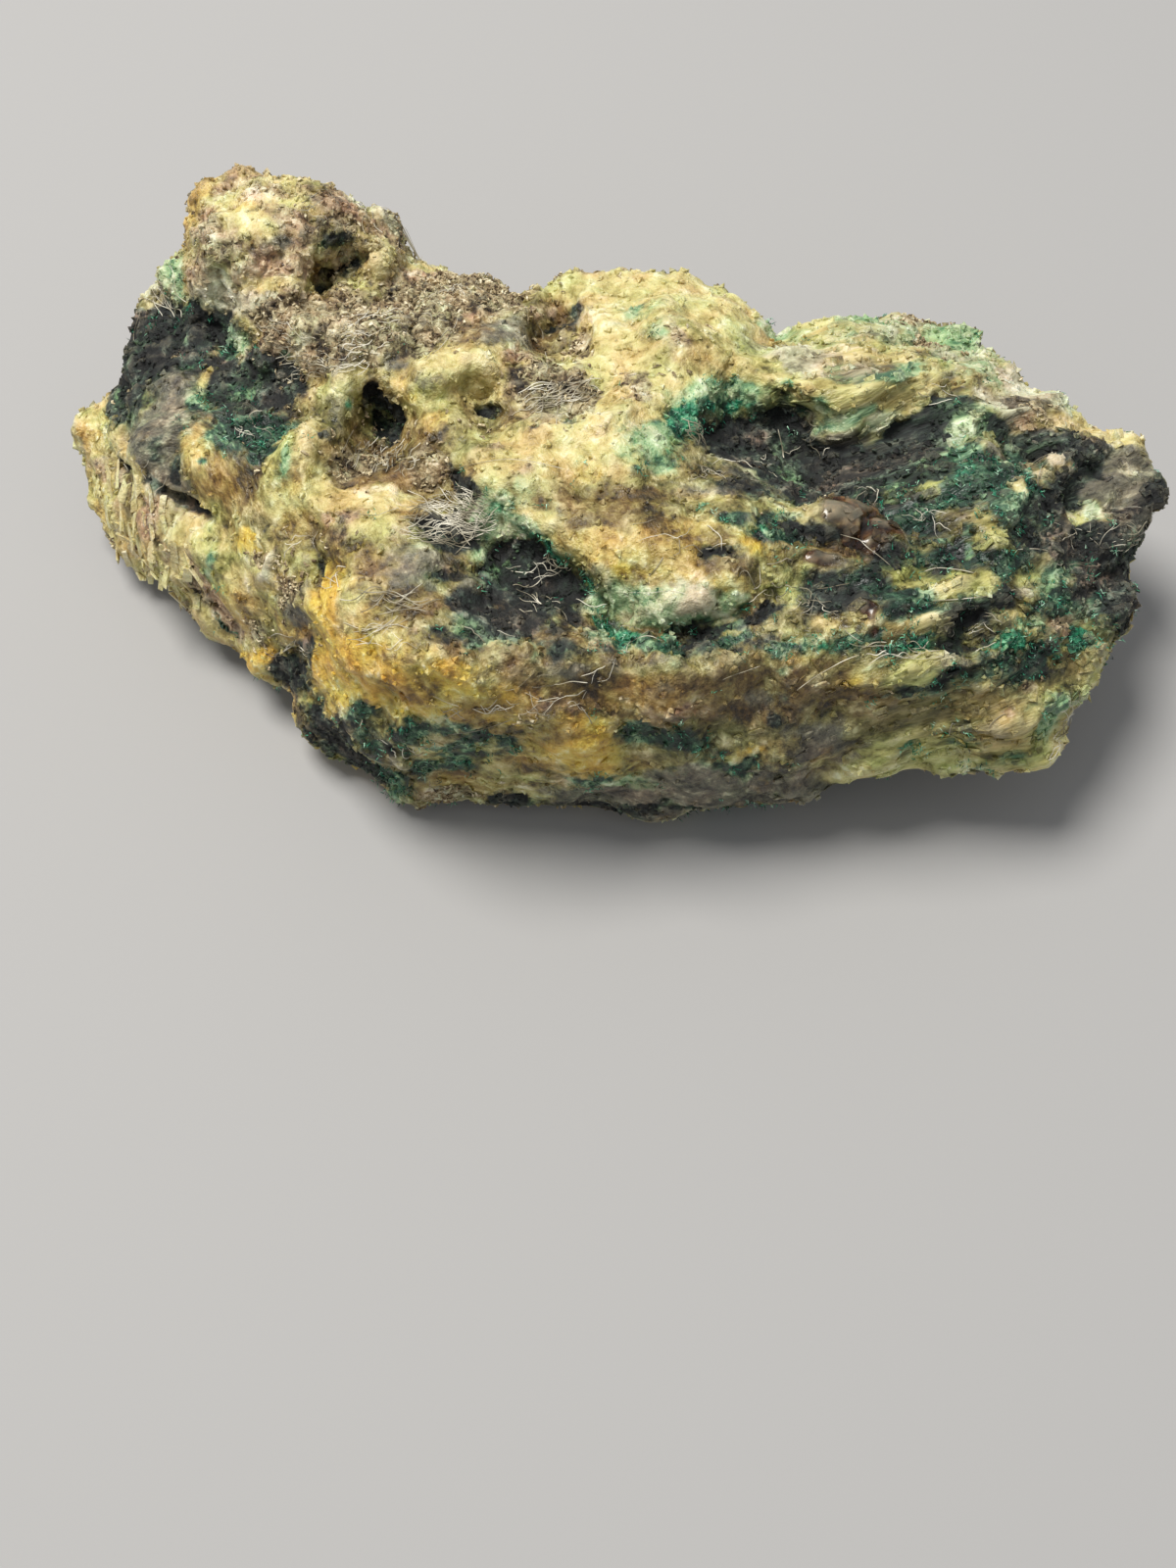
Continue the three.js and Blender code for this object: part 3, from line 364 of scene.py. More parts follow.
MINT = [
    (169, 281, 0.6, 0.7, 0, 1.1), (181, 297, 0.5, 0.6, 0, 1.0), (247, 351, 0.5, 0.6, 0, 1.0),
    (288, 472, 0.9, 0.4, 60, 0.6), (650, 316, 1.2, 0.7, 80, 0.5), (670, 339, 0.8, 0.9, 0, 0.5),
    (740, 310, 1.2, 0.6, 0, 0.3), (672, 445, 1.4, 0.8, 0, 2.4), (675, 470, 1.2, 0.6, 0, 1.6),
    (489, 563, 0.9, 0.6, 60, 1.0), (865, 327, 1.0, 0.5, 0, 0.6), (893, 322, 0.9, 0.5, 0, 0.5),
    (850, 372, 0.9, 0.5, 20, 0.5), (930, 376, 1.4, 0.6, 20, 2.4), (835, 413, 0.8, 0.7, 60, 0.9),
    (1007, 376, 0.9, 0.8, 0, 0.8), (995, 345, 1.2, 0.6, 0, 0.6), (677, 630, 1.6, 0.5, 3, 0.9),
    (732, 667, 1.8, 0.4, 5, 0.5), (796, 683, 1.2, 0.4, 10, 0.6), (852, 436, 1.1, 0.4, 10, 2.4),
    (505, 532, 1.1, 0.7, -30, 5.0), (735, 402, 1.5, 0.6, 0, 4.0), (900, 380, 2.4, 0.8, 15, 0.9),
    (542, 548, 1.0, 0.4, -30, 2.4),
    (632, 800, 1.6, 0.4, 3, 0.7), (745, 781, 1.8, 0.35, 3, 0.8), (407, 808, 0.7, 0.5, 0, 0.9),
    (215, 575, 1.6, 0.4, -80, 0.9), (986, 560, 0.5, 0.3, 0, 0.9), (1034, 772, 1.4, 0.6, 0, 1.2),
    (982, 757, 1.2, 0.8, 0, 0.6), (1072, 732, 0.9, 0.7, 60, 0.8), (1112, 529, 0.5, 0.7, 0, 1.0),
    (950, 345, 3.5, 1.2, 10, 0.6), (870, 345, 2.5, 1.0, 0, 0.5), (690, 628, 1.8, 0.4, 5, 2.4),
    (790, 335, 1.6, 0.8, 0, 0.6), (895, 420, 1.2, 0.5, 25, 1.6),
    (800, 528, 1.2, 0.3, -5, 0.6), (1068, 742, 0.9, 0.8, 60, 3.0), (985, 560, 0.8, 0.4, 10, 0.9),
    (1040, 460, 1.2, 0.3, 25, 0.6), (1118, 522, 0.6, 0.4, 0, 0.8), (1075, 600, 1.6, 0.3, 20, 0.7),
    (905, 505, 0.9, 0.4, 10, 0.8), (930, 470, 1.0, 0.3, 20, 0.7), (960, 455, 0.8, 0.4, 30, 0.9),
    (975, 436, 1.0, 0.8, 40, 1.0), (668, 610, 1.8, 0.5, 5, 4.0), (630, 618, 1.4, 0.5, 0, 2.4),
    (1070, 738, 1.1, 0.7, 60, 1.6), (1045, 635, 1.2, 0.4, 5, 0.9), (1000, 790, 1.4, 0.4, 0, 0.6),
    (750, 605, 1.2, 0.4, 5, 0.8), (612, 612, 0.8, 0.4, 0, 0.7), (1100, 710, 0.8, 0.5, 40, 0.7),
]
MALACHITE = [
    (230, 343, 1.2, 0.7, 20, 0.9), (140, 334, 1.6, 1.0, 30, 0.5), (198, 414, 0.6, 0.7, 0, 0.8),
    (254, 438, 1.6, 0.9, 0, 1.4), (271, 463, 0.9, 0.5, 0, 1.0), (819, 418, 0.8, 0.7, 80, 1.0),
    (980, 560, 7.0, 3.4, 20, 0.4), (1010, 480, 3.0, 2.0, 20, 0.35), (750, 524, 1.0, 0.3, 0, 0.6),
    (175, 330, 1.6, 0.5, 10, 1.0), (240, 400, 1.2, 0.8, 0, 1.2), (700, 640, 1.8, 0.5, 10, 1.0),
    (236, 356, 0.9, 0.6, 0, 1.3), (195, 370, 0.9, 0.4, 0, 0.9), (290, 365, 0.8, 0.4, 0, 0.8),
    (780, 530, 1.4, 0.5, 0, 1.2), (735, 480, 1.0, 0.5, 0, 0.8), (845, 600, 1.2, 0.5, 0, 0.9),
    (900, 530, 1.6, 0.7, 20, 0.9), (1040, 520, 2.0, 0.8, 20, 0.9), (1030, 575, 2.4, 0.8, 20, 0.9),
    (950, 625, 2.0, 0.6, 10, 0.8), (1080, 620, 1.6, 0.8, 20, 0.8), (770, 500, 1.6, 0.8, 0, 0.6),
    (1007, 479, 1.4, 0.7, 20, 1.0), (890, 602, 1.6, 0.8, -10, 3.0), (927, 610, 1.6, 0.4, 5, 1.0),
    (971, 506, 0.6, 0.5, 0, 1.0), (938, 531, 1.2, 0.6, 10, 0.8), (973, 460, 1.4, 0.7, 20, 1.0),
    (479, 744, 1.2, 0.6, 0, 0.7), (509, 757, 1.0, 0.5, 0, 0.7), (466, 780, 0.9, 0.5, 0, 0.8),
    (650, 745, 1.6, 0.7, 0, 1.0), (700, 760, 1.6, 0.6, 0, 1.1), (970, 745, 2.0, 0.7, 0, 0.5),
    (370, 735, 1.4, 0.8, -30, 1.0), (420, 752, 1.4, 0.8, 0, 0.9), (395, 790, 1.2, 0.6, -45, 0.9),
    (500, 600, 1.2, 1.0, 0, 0.8), (480, 640, 1.0, 0.5, 0, 0.5), (515, 660, 1.0, 0.4, 0, 0.6),
    (640, 656, 1.8, 0.4, -5, 3.0), (690, 662, 1.6, 0.4, 0, 3.0), (1120, 610, 1.2, 0.6, 30, 0.8),
    (497, 655, 1.4, 0.8, 0, 4.0), (1055, 690, 1.6, 0.4, 10, 1.6),
    (1095, 575, 1.6, 0.6, 20, 0.7), (910, 490, 1.4, 0.6, 10, 0.8), (930, 475, 1.6, 0.3, 20, 0.6),
    (750, 782, 1.8, 0.3, 3, 0.8), (601, 796, 1.2, 0.4, 0, 0.8), (227, 630, 1.5, 0.2, -50, 1.1),
    (203, 604, 0.6, 0.2, -60, 1.0), (1000, 690, 4.0, 1.2, 15, 0.7), (1063, 663, 1.2, 0.5, 0, 0.9),
    (430, 780, 1.4, 0.8, 0, 0.5), (480, 760, 2.4, 0.6, 0, 0.6), (505, 545, 1.0, 0.5, 0, 0.8),
    (800, 545, 1.4, 0.6, 0, 1.4), (735, 480, 1.4, 0.5, -10, 1.6), (790, 498, 1.4, 0.4, -10, 1.0),
    (740, 658, 2.0, 0.4, 5, 1.3), (800, 662, 1.6, 0.4, 5, 1.2),
    (880, 655, 2.0, 0.5, 5, 1.3), (930, 662, 1.4, 0.4, 10, 1.0), (850, 500, 1.6, 0.5, 0, 0.8),
]
EMERALD = [
    (507, 520, 0.9, 0.4, -40, 1.1), (535, 547, 1.0, 0.4, -35, 1.2), (565, 563, 1.1, 0.4, -30, 1.2),
    (603, 600, 0.9, 0.5, -50, 1.2), (612, 640, 0.9, 0.25, -35, 1.0), (645, 652, 1.2, 0.2, -15, 1.2),
    (682, 652, 1.0, 0.2, 10, 1.0), (720, 632, 0.9, 0.15, 20, 1.0), (755, 620, 1.0, 0.15, 10, 0.9),
    (724, 412, 1.2, 0.4, 15, 0.7), (700, 420, 1.1, 0.5, 0, 1.0), (752, 418, 1.2, 0.3, 0, 0.7),
    (690, 433, 0.8, 0.5, 0, 1.0), (820, 402, 0.8, 0.5, 60, 1.1), (800, 390, 0.5, 0.3, 0, 0.8),
    (652, 476, 0.35, 0.3, 0, 1.2), (720, 519, 0.8, 0.4, 0, 0.7), (790, 535, 0.9, 0.3, -5, 0.7),
    (847, 660, 1.2, 0.35, 10, 1.2), (935, 655, 1.0, 0.5, 0, 5.0), (1034, 656, 1.6, 0.6, 5, 0.9),
    (205, 470, 0.4, 0.3, 0, 0.8), (351, 414, 0.4, 0.3, 0, 0.8), (1101, 652, 1.0, 0.6, 30, 0.7),
    (925, 766, 0.7, 0.4, 0, 0.9), (996, 780, 1.2, 0.35, 0, 0.8), (407, 808, 0.9, 0.5, 0, 0.7),
    (700, 440, 1.0, 0.6, 0, 0.8), (690, 468, 0.7, 0.9, 0, 1.4), (254, 438, 0.9, 0.5, 0, 0.6),
    (1072, 730, 0.5, 0.5, 60, 0.8), (985, 480, 1.2, 0.4, 20, 0.5), (1030, 540, 1.4, 0.4, 20, 0.4),
]
BLACK = [
    (351, 270, 1.4, 0.6, -20, 0.4), (330, 298, 0.8, 0.4, 30, 0.3), (345, 243, 1.2, 0.4, -10, 0.6),
    (140, 345, 1.6, 1.4, 0, 1.6), (157, 365, 1.8, 1.2, 0, 1.4), (131, 385, 1.4, 0.8, 90, 1.3),
    (225, 335, 1.6, 0.7, 10, 1.2), (190, 350, 1.8, 0.9, 0, 1.4), (271, 375, 1.4, 0.9, -20, 1.5),
    (450, 540, 1.4, 0.9, 0, 1.2), (475, 552, 0.9, 0.5, -40, 0.6), (200, 330, 1.4, 0.7, 0, 1.0),
    (240, 385, 1.4, 0.7, 0, 1.0), (293, 392, 1.0, 0.8, -30, 1.0), (250, 410, 2.0, 1.0, 0, 0.7),
    (385, 410, 1.1, 0.5, 90, 1.1), (402, 436, 0.9, 0.6, 90, 1.1), (336, 440, 0.4, 0.4, 0, 0.8),
    (492, 419, 0.6, 0.4, 0, 1.1), (585, 318, 0.5, 0.4, 0, 1.6), (565, 340, 1.1, 0.3, 20, 1.4),
    (470, 618, 1.4, 0.8, 0, 3.0), (495, 650, 1.8, 0.8, 0, 5.0), (450, 560, 1.2, 0.6, 0, 1.2),
    (560, 662, 2.2, 0.6, 0, 2.6), (815, 538, 1.2, 0.4, 0, 1.6), (450, 590, 1.2, 0.5, 0, 1.0),
    (625, 664, 1.8, 0.4, 0, 2.2), (690, 664, 1.8, 0.4, 3, 2.0), (855, 492, 1.6, 0.5, 0, 4.0),
    (760, 660, 1.4, 0.3, 5, 1.8), (810, 488, 1.8, 0.8, -10, 4.0), (735, 460, 1.4, 0.6, -15, 4.0),
    (840, 612, 1.2, 0.4, 0, 1.6), (885, 612, 1.0, 0.4, 0, 2.0), (738, 570, 1.1, 0.5, -10, 2.4),
    (1170, 535, 1.0, 0.7, 60, 1.6), (760, 500, 1.6, 0.3, -10, 1.0), (725, 480, 1.0, 0.2, 10, 1.0),
    (570, 425, 1.6, 0.2, 15, 0.7), (578, 397, 0.5, 0.4, 0, 0.8), (475, 500, 1.6, 0.5, -55, 1.0),
    (535, 575, 1.4, 0.8, -20, 1.3), (568, 592, 1.4, 0.9, -20, 1.3), (510, 590, 1.8, 0.8, 0, 1.0),
    (560, 615, 2.0, 0.8, 0, 1.1), (500, 630, 2.2, 0.8, 0, 0.9), (530, 642, 1.8, 0.5, 0, 0.8),
    (738, 640, 2.0, 0.3, 16, 3.0), (795, 432, 2.0, 0.9, 5, 1.7), (778, 455, 1.6, 0.8, -5, 1.3),
    (815, 468, 2.0, 0.7, -10, 2.0), (838, 472, 1.4, 0.9, 0, 2.4), (918, 462, 2.2, 0.8, 20, 2.4),
    (945, 436, 1.3, 0.6, 35, 1.7), (880, 482, 2.6, 0.8, 5, 2.2), (955, 415, 0.8, 0.5, 40, 1.1),
    (880, 555, 1.4, 0.6, -10, 0.9), (960, 580, 1.6, 0.6, 20, 0.8), (1020, 610, 1.8, 0.6, 20, 0.8),
    (870, 506, 2.2, 0.5, 0, 1.6), (830, 500, 2.0, 0.7, 0, 1.8), (736, 566, 0.9, 0.4, -10, 2.2),
    (980, 655, 1.4, 0.8, 0, 2.6), (984, 632, 1.0, 0.5, 20, 1.6), (977, 690, 2.0, 0.5, 10, 1.0),
    (1063, 455, 1.6, 0.7, -5, 1.1), (1110, 470, 1.6, 0.6, -25, 1.0), (1082, 502, 1.8, 0.7, 30, 1.1),
    (1063, 515, 1.8, 0.5, 10, 1.0), (1139, 579, 2.2, 1.4, 30, 1.3), (1158, 556, 1.4, 0.8, 30, 1.2),
    (1101, 542, 1.6, 0.3, 5, 1.1), (1172, 525, 1.0, 0.3, 20, 1.1), (1177, 505, 0.8, 0.5, 80, 0.8),
    (1130, 600, 1.5, 1.0, 40, 1.2), (1120, 560, 1.4, 0.5, 10, 1.0), (1019, 433, 1.0, 0.3, 0, 0.8),
    (293, 681, 1.0, 0.8, 0, 1.2), (310, 664, 0.8, 0.6, 80, 1.0), (346, 750, 1.4, 0.7, -40, 0.9),
    (369, 742, 1.2, 0.6, 0, 0.9), (402, 762, 0.8, 0.6, 90, 0.7), (380, 785, 1.2, 0.6, -45, 0.8),
    (524, 821, 0.9, 0.4, 0, 1.1), (640, 824, 3.0, 0.3, 0, 0.7), (335, 245, 1.0, 0.3, 0, 0.5),
    (789, 733, 0.9, 0.5, -30, 2.2), (925, 766, 0.4, 0.25, 0, 0.8), (931, 704, 1.6, 0.4, 10, 0.9),
    (421, 322, 1.4, 0.14, 90, 1.3), (190, 512, 1.4, 0.22, -30, 0.8), (125, 478, 0.8, 0.15, -35, 1.0),
    (770, 470, 2.2, 0.7, -15, 2.4), (322, 580, 1.2, 0.12, -80, 0.3), (1060, 560, 3.0, 1.4, 20, 0.5),
    (900, 565, 2.0, 1.2, 0, 0.5), (157, 494, 1.0, 0.4, -30, 0.8), (855, 600, 1.4, 0.6, -20, 2.2),
    (175, 482, 0.4, 0.8, 0, 0.7), (465, 487, 0.8, 0.6, -40, 0.8), (940, 480, 1.6, 0.6, 10, 0.8),
    (160, 445, 1.6, 0.5, 70, 0.7), (755, 492, 1.8, 0.4, -10, 2.0), (812, 505, 1.2, 0.4, -10, 2.0),
    (835, 547, 0.9, 0.6, 0, 1.0),
]
GLASSY = [
    (862, 527, 1.2, 0.6, 0, 3.2), (878, 548, 1.3, 0.6, -10, 2.6), (897, 540, 0.8, 0.6, 0, 2.0),
    (837, 573, 1.0, 0.4, 0, 1.8), (883, 626, 0.8, 0.6, -20, 1.8), (888, 650, 0.5, 0.5, 0, 1.2),
]
LYING = {
    "cream_quartz": CREAM, "chalky_quartz": CHALK, "honey_quartz": HONEY, "gold_quartz": GOLD,
    "amber_quartz": AMBER, "brown_quartz": BROWN, "olive_quartz": OLIVE, "straw_quartz": STRAW,
    "rosy_crumbs": ROSY, "iron_crust": CRUST, "grey_quartz": GREY, "mint_stain": MINT,
    "malachite": MALACHITE, "emerald_malachite": EMERALD, "black_ore": BLACK, "glassy_quartz": GLASSY,
}
# Round the back and underneath, where the picture shows nothing, the same minerals lie in broad mottles.
UNSEEN = {
    "cream_quartz": 0.34, "chalky_quartz": 0.15, "honey_quartz": 0.16, "gold_quartz": 0.06,
    "amber_quartz": 0.3, "brown_quartz": 0.3, "olive_quartz": 0.28, "straw_quartz": 0.24,
    "rosy_crumbs": 0.26, "iron_crust": 0.32, "grey_quartz": 0.3, "mint_stain": 0.14,
    "malachite": 0.26, "emerald_malachite": 0.1, "black_ore": 0.22, "glassy_quartz": 0.0,
}
UNSEEN_WEIGHT = 1.5
UNSEEN_MOTTLE_MM = 4.5
UNSEEN_CONTRAST = 0.9
# A mineral breaks into islands about this wide, and its hold falls off from the core of each oval.
ISLAND_MM = 1.3
ISLANDS = 0.8
CORE = 0.3
FALL = 1.6
towards_eye = EYE_MM - points
towards_eye = towards_eye / np.linalg.norm(towards_eye, axis=1, keepdims=True)
turned_away = np.clip(0.2 - 3 * np.sum(outward * towards_eye, axis=1), 0, 1)

minerals = {}
for number, (name, patches) in enumerate(LYING.items()):
    hold = sum(row[5] / (CORE + patch(*row[:5])) ** FALL for row in patches)
    hold *= np.exp(ISLANDS * grain_noise(ISLAND_MM, 60 + number))
    mottle = UNSEEN[name] + UNSEEN_CONTRAST * grain_noise(UNSEEN_MOTTLE_MM, 30 + number)
    mottle = np.clip(mottle, 0.0, 2.0)
    minerals[name] = hold * (1 - turned_away) + UNSEEN_WEIGHT * mottle ** 2 * turned_away + 1e-4
everything = sum(minerals.values())
minerals = {name: hold / everything for name, hold in minerals.items()}

# The relief
# Broken grains and blocks cover it all. The right end parts into thin sheets, the left flank into upright
# flakes like bark, and the crusts are rough. Noise and broken cells of real widths raise and lower it all.
SHEETS_ACROSS = np.array((-0.36, 0.74, 0.57))
SHEETS_RISE = math.radians(22)
SHEETS_FROM_MM = 6.0
SHEETS_FULL_MM = 14.0
SHEET_STRETCH = 0.7
LEAF_STRETCH = 0.12
BARK_FROM_MM = -15.0
BARK_FULL_MM = -19.0
BARK_STRETCH = 0.55
BARK_LEAN = math.radians(72)

sheeted = np.clip((points[:, 0] - SHEETS_FROM_MM) / (SHEETS_FULL_MM - SHEETS_FROM_MM), 0, 1)
barked = np.clip((points[:, 0] - BARK_FROM_MM) / (BARK_FULL_MM - BARK_FROM_MM), 0, 1)
barked = barked * np.clip((2.0 - points[:, 1]) / 3.0, 0, 1)
along_sheets = math.cos(SHEETS_RISE) * TO_RIGHT + math.sin(SHEETS_RISE) * PICTURE_UP
along_sheets -= (along_sheets @ SHEETS_ACROSS) * SHEETS_ACROSS
along_sheets /= np.linalg.norm(along_sheets)
along_bark = math.cos(BARK_LEAN) * TO_RIGHT + math.sin(BARK_LEAN) * PICTURE_UP
sheet_run = (points - np.array((8.0, 0.0, 8.0))) @ along_sheets
bark_run = (points - np.array((-20.0, -4.0, 4.0))) @ along_bark
# The pattern is where a point lies for its noise. It is drawn in along the sheets and the bark, so that
# their grains and stains run long.
pattern = points - (SHEET_STRETCH * sheeted * sheet_run)[:, None] * along_sheets
pattern -= (BARK_STRETCH * barked * bark_run)[:, None] * along_bark
leaf_pattern = pattern - (LEAF_STRETCH * sheeted * sheet_run)[:, None] * along_sheets


# A block's lean has three parts, read from the noise at three places far apart. The noise vector isn't used
# for it, because it changes from one run of Blender to the next.
LEAN_PARTS = [Vector((0, 0, 31.7 * k)) for k in range(3)]


def blocks(width_mm, seed, crevice):
    """Broken blocks about this wide: each has its own height and lean, and crevices part them."""
    shift = Vector((5.1, 8.7, -3.3)) * seed
    heights = np.empty(len(pattern))
    for number, p in enumerate(pattern + 0.25 * wander):
        q = Vector(p) / width_mm + shift
        apart, middles = noise.voronoi(q)
        lean = Vector([noise.noise(middles[0] * 7.3 + part) for part in LEAN_PARTS])
        gap = math.exp(-(apart[1] - apart[0]) / 0.07)
        own_height = noise.noise(middles[0] * 5.1)
        heights[number] = own_height + 0.9 * lean.dot(q - middles[0]) - crevice * gap
    return heights


LUMPS_MM, LUMPS_HIGH_MM = 2.4, 0.16
BIG_BLOCKS_MM, BIG_BLOCKS_HIGH_MM = 2.2, 0.3
SMALL_BLOCKS_MM, SMALL_BLOCKS_HIGH_MM = 1.05, 0.17
GRAINS_MM, GRAINS_HIGH_MM = 0.8, 0.3
LEAVES_MM, LEAVES_HIGH_MM = 0.9, 0.2
lumps = grain_noise(LUMPS_MM, 21)
big_blocks = blocks(BIG_BLOCKS_MM, 1, 0.5)
small_blocks = blocks(SMALL_BLOCKS_MM, 2, 0.6)
grains = np.abs(grain_noise(GRAINS_MM, 22, 2))
leaves = grain_noise(LEAVES_MM, 24, 2, leaf_pattern)

# Pits and lumps that the picture shows one by one: across, down, half length, half width, tilt, and how
# deep or high in mm.
HOLLOWS = [
    (385, 410, 0.9, 0.4, 90, 0.5), (402, 436, 0.8, 0.4, 90, 0.5), (494, 419, 0.5, 0.3, 0, 0.4),
    (535, 570, 1.4, 0.8, -20, 0.4), (568, 592, 1.4, 0.8, -20, 0.4), (736, 566, 0.6, 0.25, -10, 0.3),
    (801, 466, 2.4, 0.8, -10, 0.3), (904, 452, 2.0, 0.7, 20, 0.3), (270, 188, 0.5, 0.4, 0, 0.25),
    (980, 655, 1.2, 0.7, 0, 0.6), (1139, 579, 1.8, 0.8, 30, 0.3),
    (421, 322, 1.4, 0.18, 90, 0.6), (190, 512, 1.4, 0.22, -30, 0.6), (125, 478, 0.8, 0.18, -35, 0.5),
    (322, 580, 1.4, 0.22, -80, 0.35), (303, 672, 0.8, 0.7, 0, 0.5), (977, 692, 2.0, 0.35, 10, 0.4),
    (570, 423, 1.6, 0.22, 15, 0.4), (870, 505, 2.0, 0.4, 0, 0.5), (925, 766, 0.4, 0.3, 0, 0.4),
]
BULGES = [
    (858, 526, 1.5, 0.8, 0, 0.55), (897, 545, 0.9, 0.7, 0, 0.4), (837, 573, 1.2, 0.5, 0, 0.45),
    (883, 628, 1.0, 0.7, -20, 0.4), (407, 775, 0.35, 0.5, 0, 0.5), (276, 581, 0.9, 0.3, 50, 0.35),
    (897, 779, 1.4, 0.5, 25, 0.35), (488, 370, 1.0, 0.6, -20, 0.35), (431, 566, 0.8, 0.6, 0, 0.35),
    (484, 602, 0.6, 0.5, 0, 0.35), (814, 802, 0.8, 0.5, 0, 0.35), (952, 635, 0.9, 0.5, 30, 0.4),
    (336, 264, 0.4, 0.35, 0, 0.3), (385, 266, 0.4, 0.35, 0, 0.3), (858, 441, 0.9, 0.45, 10, 0.35),
    (1038, 498, 0.9, 0.4, 40, 0.35), (1072, 475, 0.9, 0.25, 50, 0.35), (317, 446, 1.4, 0.35, 85, 0.4),
    (344, 208, 1.4, 0.9, -20, 0.6), (395, 228, 1.0, 0.7, -40, 0.4), (1013, 553, 0.6, 0.8, 0, 0.25),
    (984, 596, 0.9, 0.4, 10, 0.25), (448, 388, 0.9, 0.7, 30, 0.25), (351, 684, 1.2, 0.8, 0, 0.2),
    (570, 345, 0.9, 0.6, 0, 0.35), (1163, 532, 1.2, 0.6, 80, 0.3), (1166, 466, 0.9, 0.5, -60, 0.25),
    (352, 300, 0.9, 0.5, 0, 0.35), (340, 400, 0.7, 0.6, 0, 0.3), (705, 620, 1.6, 0.6, 5, 0.5),
]


def pushed(rows):
    """The most that any row pushes each point: its last value in the middle, fading to its rim."""
    return np.max([row[5] * np.clip(1 - 0.5 * patch(*row[:5]), 0, 1) for row in rows], axis=0)


quartz = sum(minerals[name] for name in minerals if name.endswith("quartz"))
on_the_knob = np.clip(1.4 - patch(310, 240, 6.0, 3.6, -15), 0, 1)
on_the_hump = np.clip(1.4 - patch(900, 350, 5.5, 1.8, 5), 0, 1)
calm = np.clip(0.7 * quartz + 0.4 * minerals["glassy_quartz"] + 0.3 * minerals["grey_quartz"], 0, 0.95)
calm = calm * (1 - 0.6 * on_the_knob) * (1 - 0.45 * on_the_hump)
crumbly = minerals["iron_crust"] + minerals["rosy_crumbs"] + 0.4 * minerals["black_ore"]
roughest = np.clip(0.4 + crumbly + 0.5 * on_the_knob, 0, 1.3)
height = LUMPS_HIGH_MM * lumps
height += BIG_BLOCKS_HIGH_MM * big_blocks * (1 - 0.55 * calm)
height += SMALL_BLOCKS_HIGH_MM * small_blocks * (1 - calm)
coarse = GRAINS_HIGH_MM * (grains - 0.2) * roughest * (1 - calm) * (1 - 0.6 * sheeted)
height += coarse + LEAVES_HIGH_MM * leaves * sheeted
height += pushed(BULGES) - pushed(HOLLOWS)
# The foot stays flat: the relief fades out over the lowest part.
FOOT_FADE_MM = 0.6
still = np.clip(points[:, 2] / FOOT_FADE_MM, 0, 1)
relief = points + outward * (height * still)[:, None]
low, high = (np.array(corner) / MM for corner in cad_box)
relief = np.clip(relief, low, high)
# How far each point stands out from the ground round it, for the painted shade and dirt in hollows and the
# painted light and dust on edges.
STANDING_MM = 0.16
ground = eased(relief, corners, 8, 0.5)
stands_out = np.sum((relief - ground) * outward, axis=1)
at_each_point = dict(minerals)
at_each_point["standing"] = np.clip(0.5 + 0.5 * stands_out / STANDING_MM, 0, 1)

stone_mesh = bpy.data.meshes.new("specimen")
stone_mesh.from_pydata((relief * MM).tolist(), [], corners.tolist())
stone_mesh.polygons.foreach_set("use_smooth", np.ones(len(corners), bool))
for name, amount in at_each_point.items():
    stone_mesh.attributes.new(name, "FLOAT", "POINT").data.foreach_set("value", amount.astype(np.float32))
stone_mesh.attributes.new("pattern", "FLOAT_VECTOR", "POINT").data.foreach_set(
    "vector", (pattern + relief - points).astype(np.float32).ravel()
)
specimen = bpy.data.objects.new("specimen", stone_mesh)
bpy.context.scene.collection.objects.link(specimen)


# The stone: its finish
# Broken quartz, milky to clear, is stained yellow to brown by iron. Malachite lies on it in deep green tufts
# and films, black copper oxides as a sooty crust, and limonite as a rough brown one with pale specks. All
# are one material: each mineral covers the ones before it where its share of the ground is large.
def linear(hex_colour):
    """An sRGB hex colour as linear red, green, blue and alpha."""
    parts = [int(hex_colour[k:k + 2], 16) / 255 for k in (1, 3, 5)]
    return (*[p / 12.92 if p <= 0.04045 else ((p + 0.055) / 1.055) ** 2.4 for p in parts], 1.0)


def add(tree, kind, settings=None, shades=(), **inputs):
    """A node of this kind, with its settings and, on a ramp, its shades evenly spaced. Each input is set to a
    value, or linked to a socket or to a node's first socket. It is given by its name, with underlines for
    spaces, or by its number, as in0, in1 and so on."""
    node = tree.nodes.new(kind)
    for name, value in (settings or {}).items():
        setattr(node, name, value)
    for name, value in inputs.items():
        socket = node.inputs[int(name[2:]) if name[2:].isdigit() else name.replace("_", " ")]
        if isinstance(value, bpy.types.Node):
            value = value.outputs[0]
        if isinstance(value, bpy.types.NodeSocket):
            tree.links.new(value, socket)
        else:
            socket.default_value = value
    for number, shade in enumerate(shades):
        if number >= len(node.color_ramp.elements):
            node.color_ramp.elements.new(1.0)
        node.color_ramp.elements[number].position = number / (len(shades) - 1)
        node.color_ramp.elements[number].color = linear(shade)
    return node


# Broken quartz gives the eye a sugary glint: each grain is bright or dull by the way its one flat face leans.
finish = bpy.data.materials.new("broken_quartz_with_copper_minerals")
finish.use_nodes = True
tree = finish.node_tree
tree.nodes.clear()
place = add(tree, "ShaderNodeAttribute", {"attribute_name": "pattern"}).outputs["Vector"]
CRYSTAL_MM = 0.4
CRYSTAL_TONE = 0.1
crystal = add(tree, "ShaderNodeTexVoronoi", Vector=place, Scale=1 / CRYSTAL_MM, Randomness=1.0)
tone = add(tree, "ShaderNodeSeparateColor", Color=crystal.outputs["Color"])
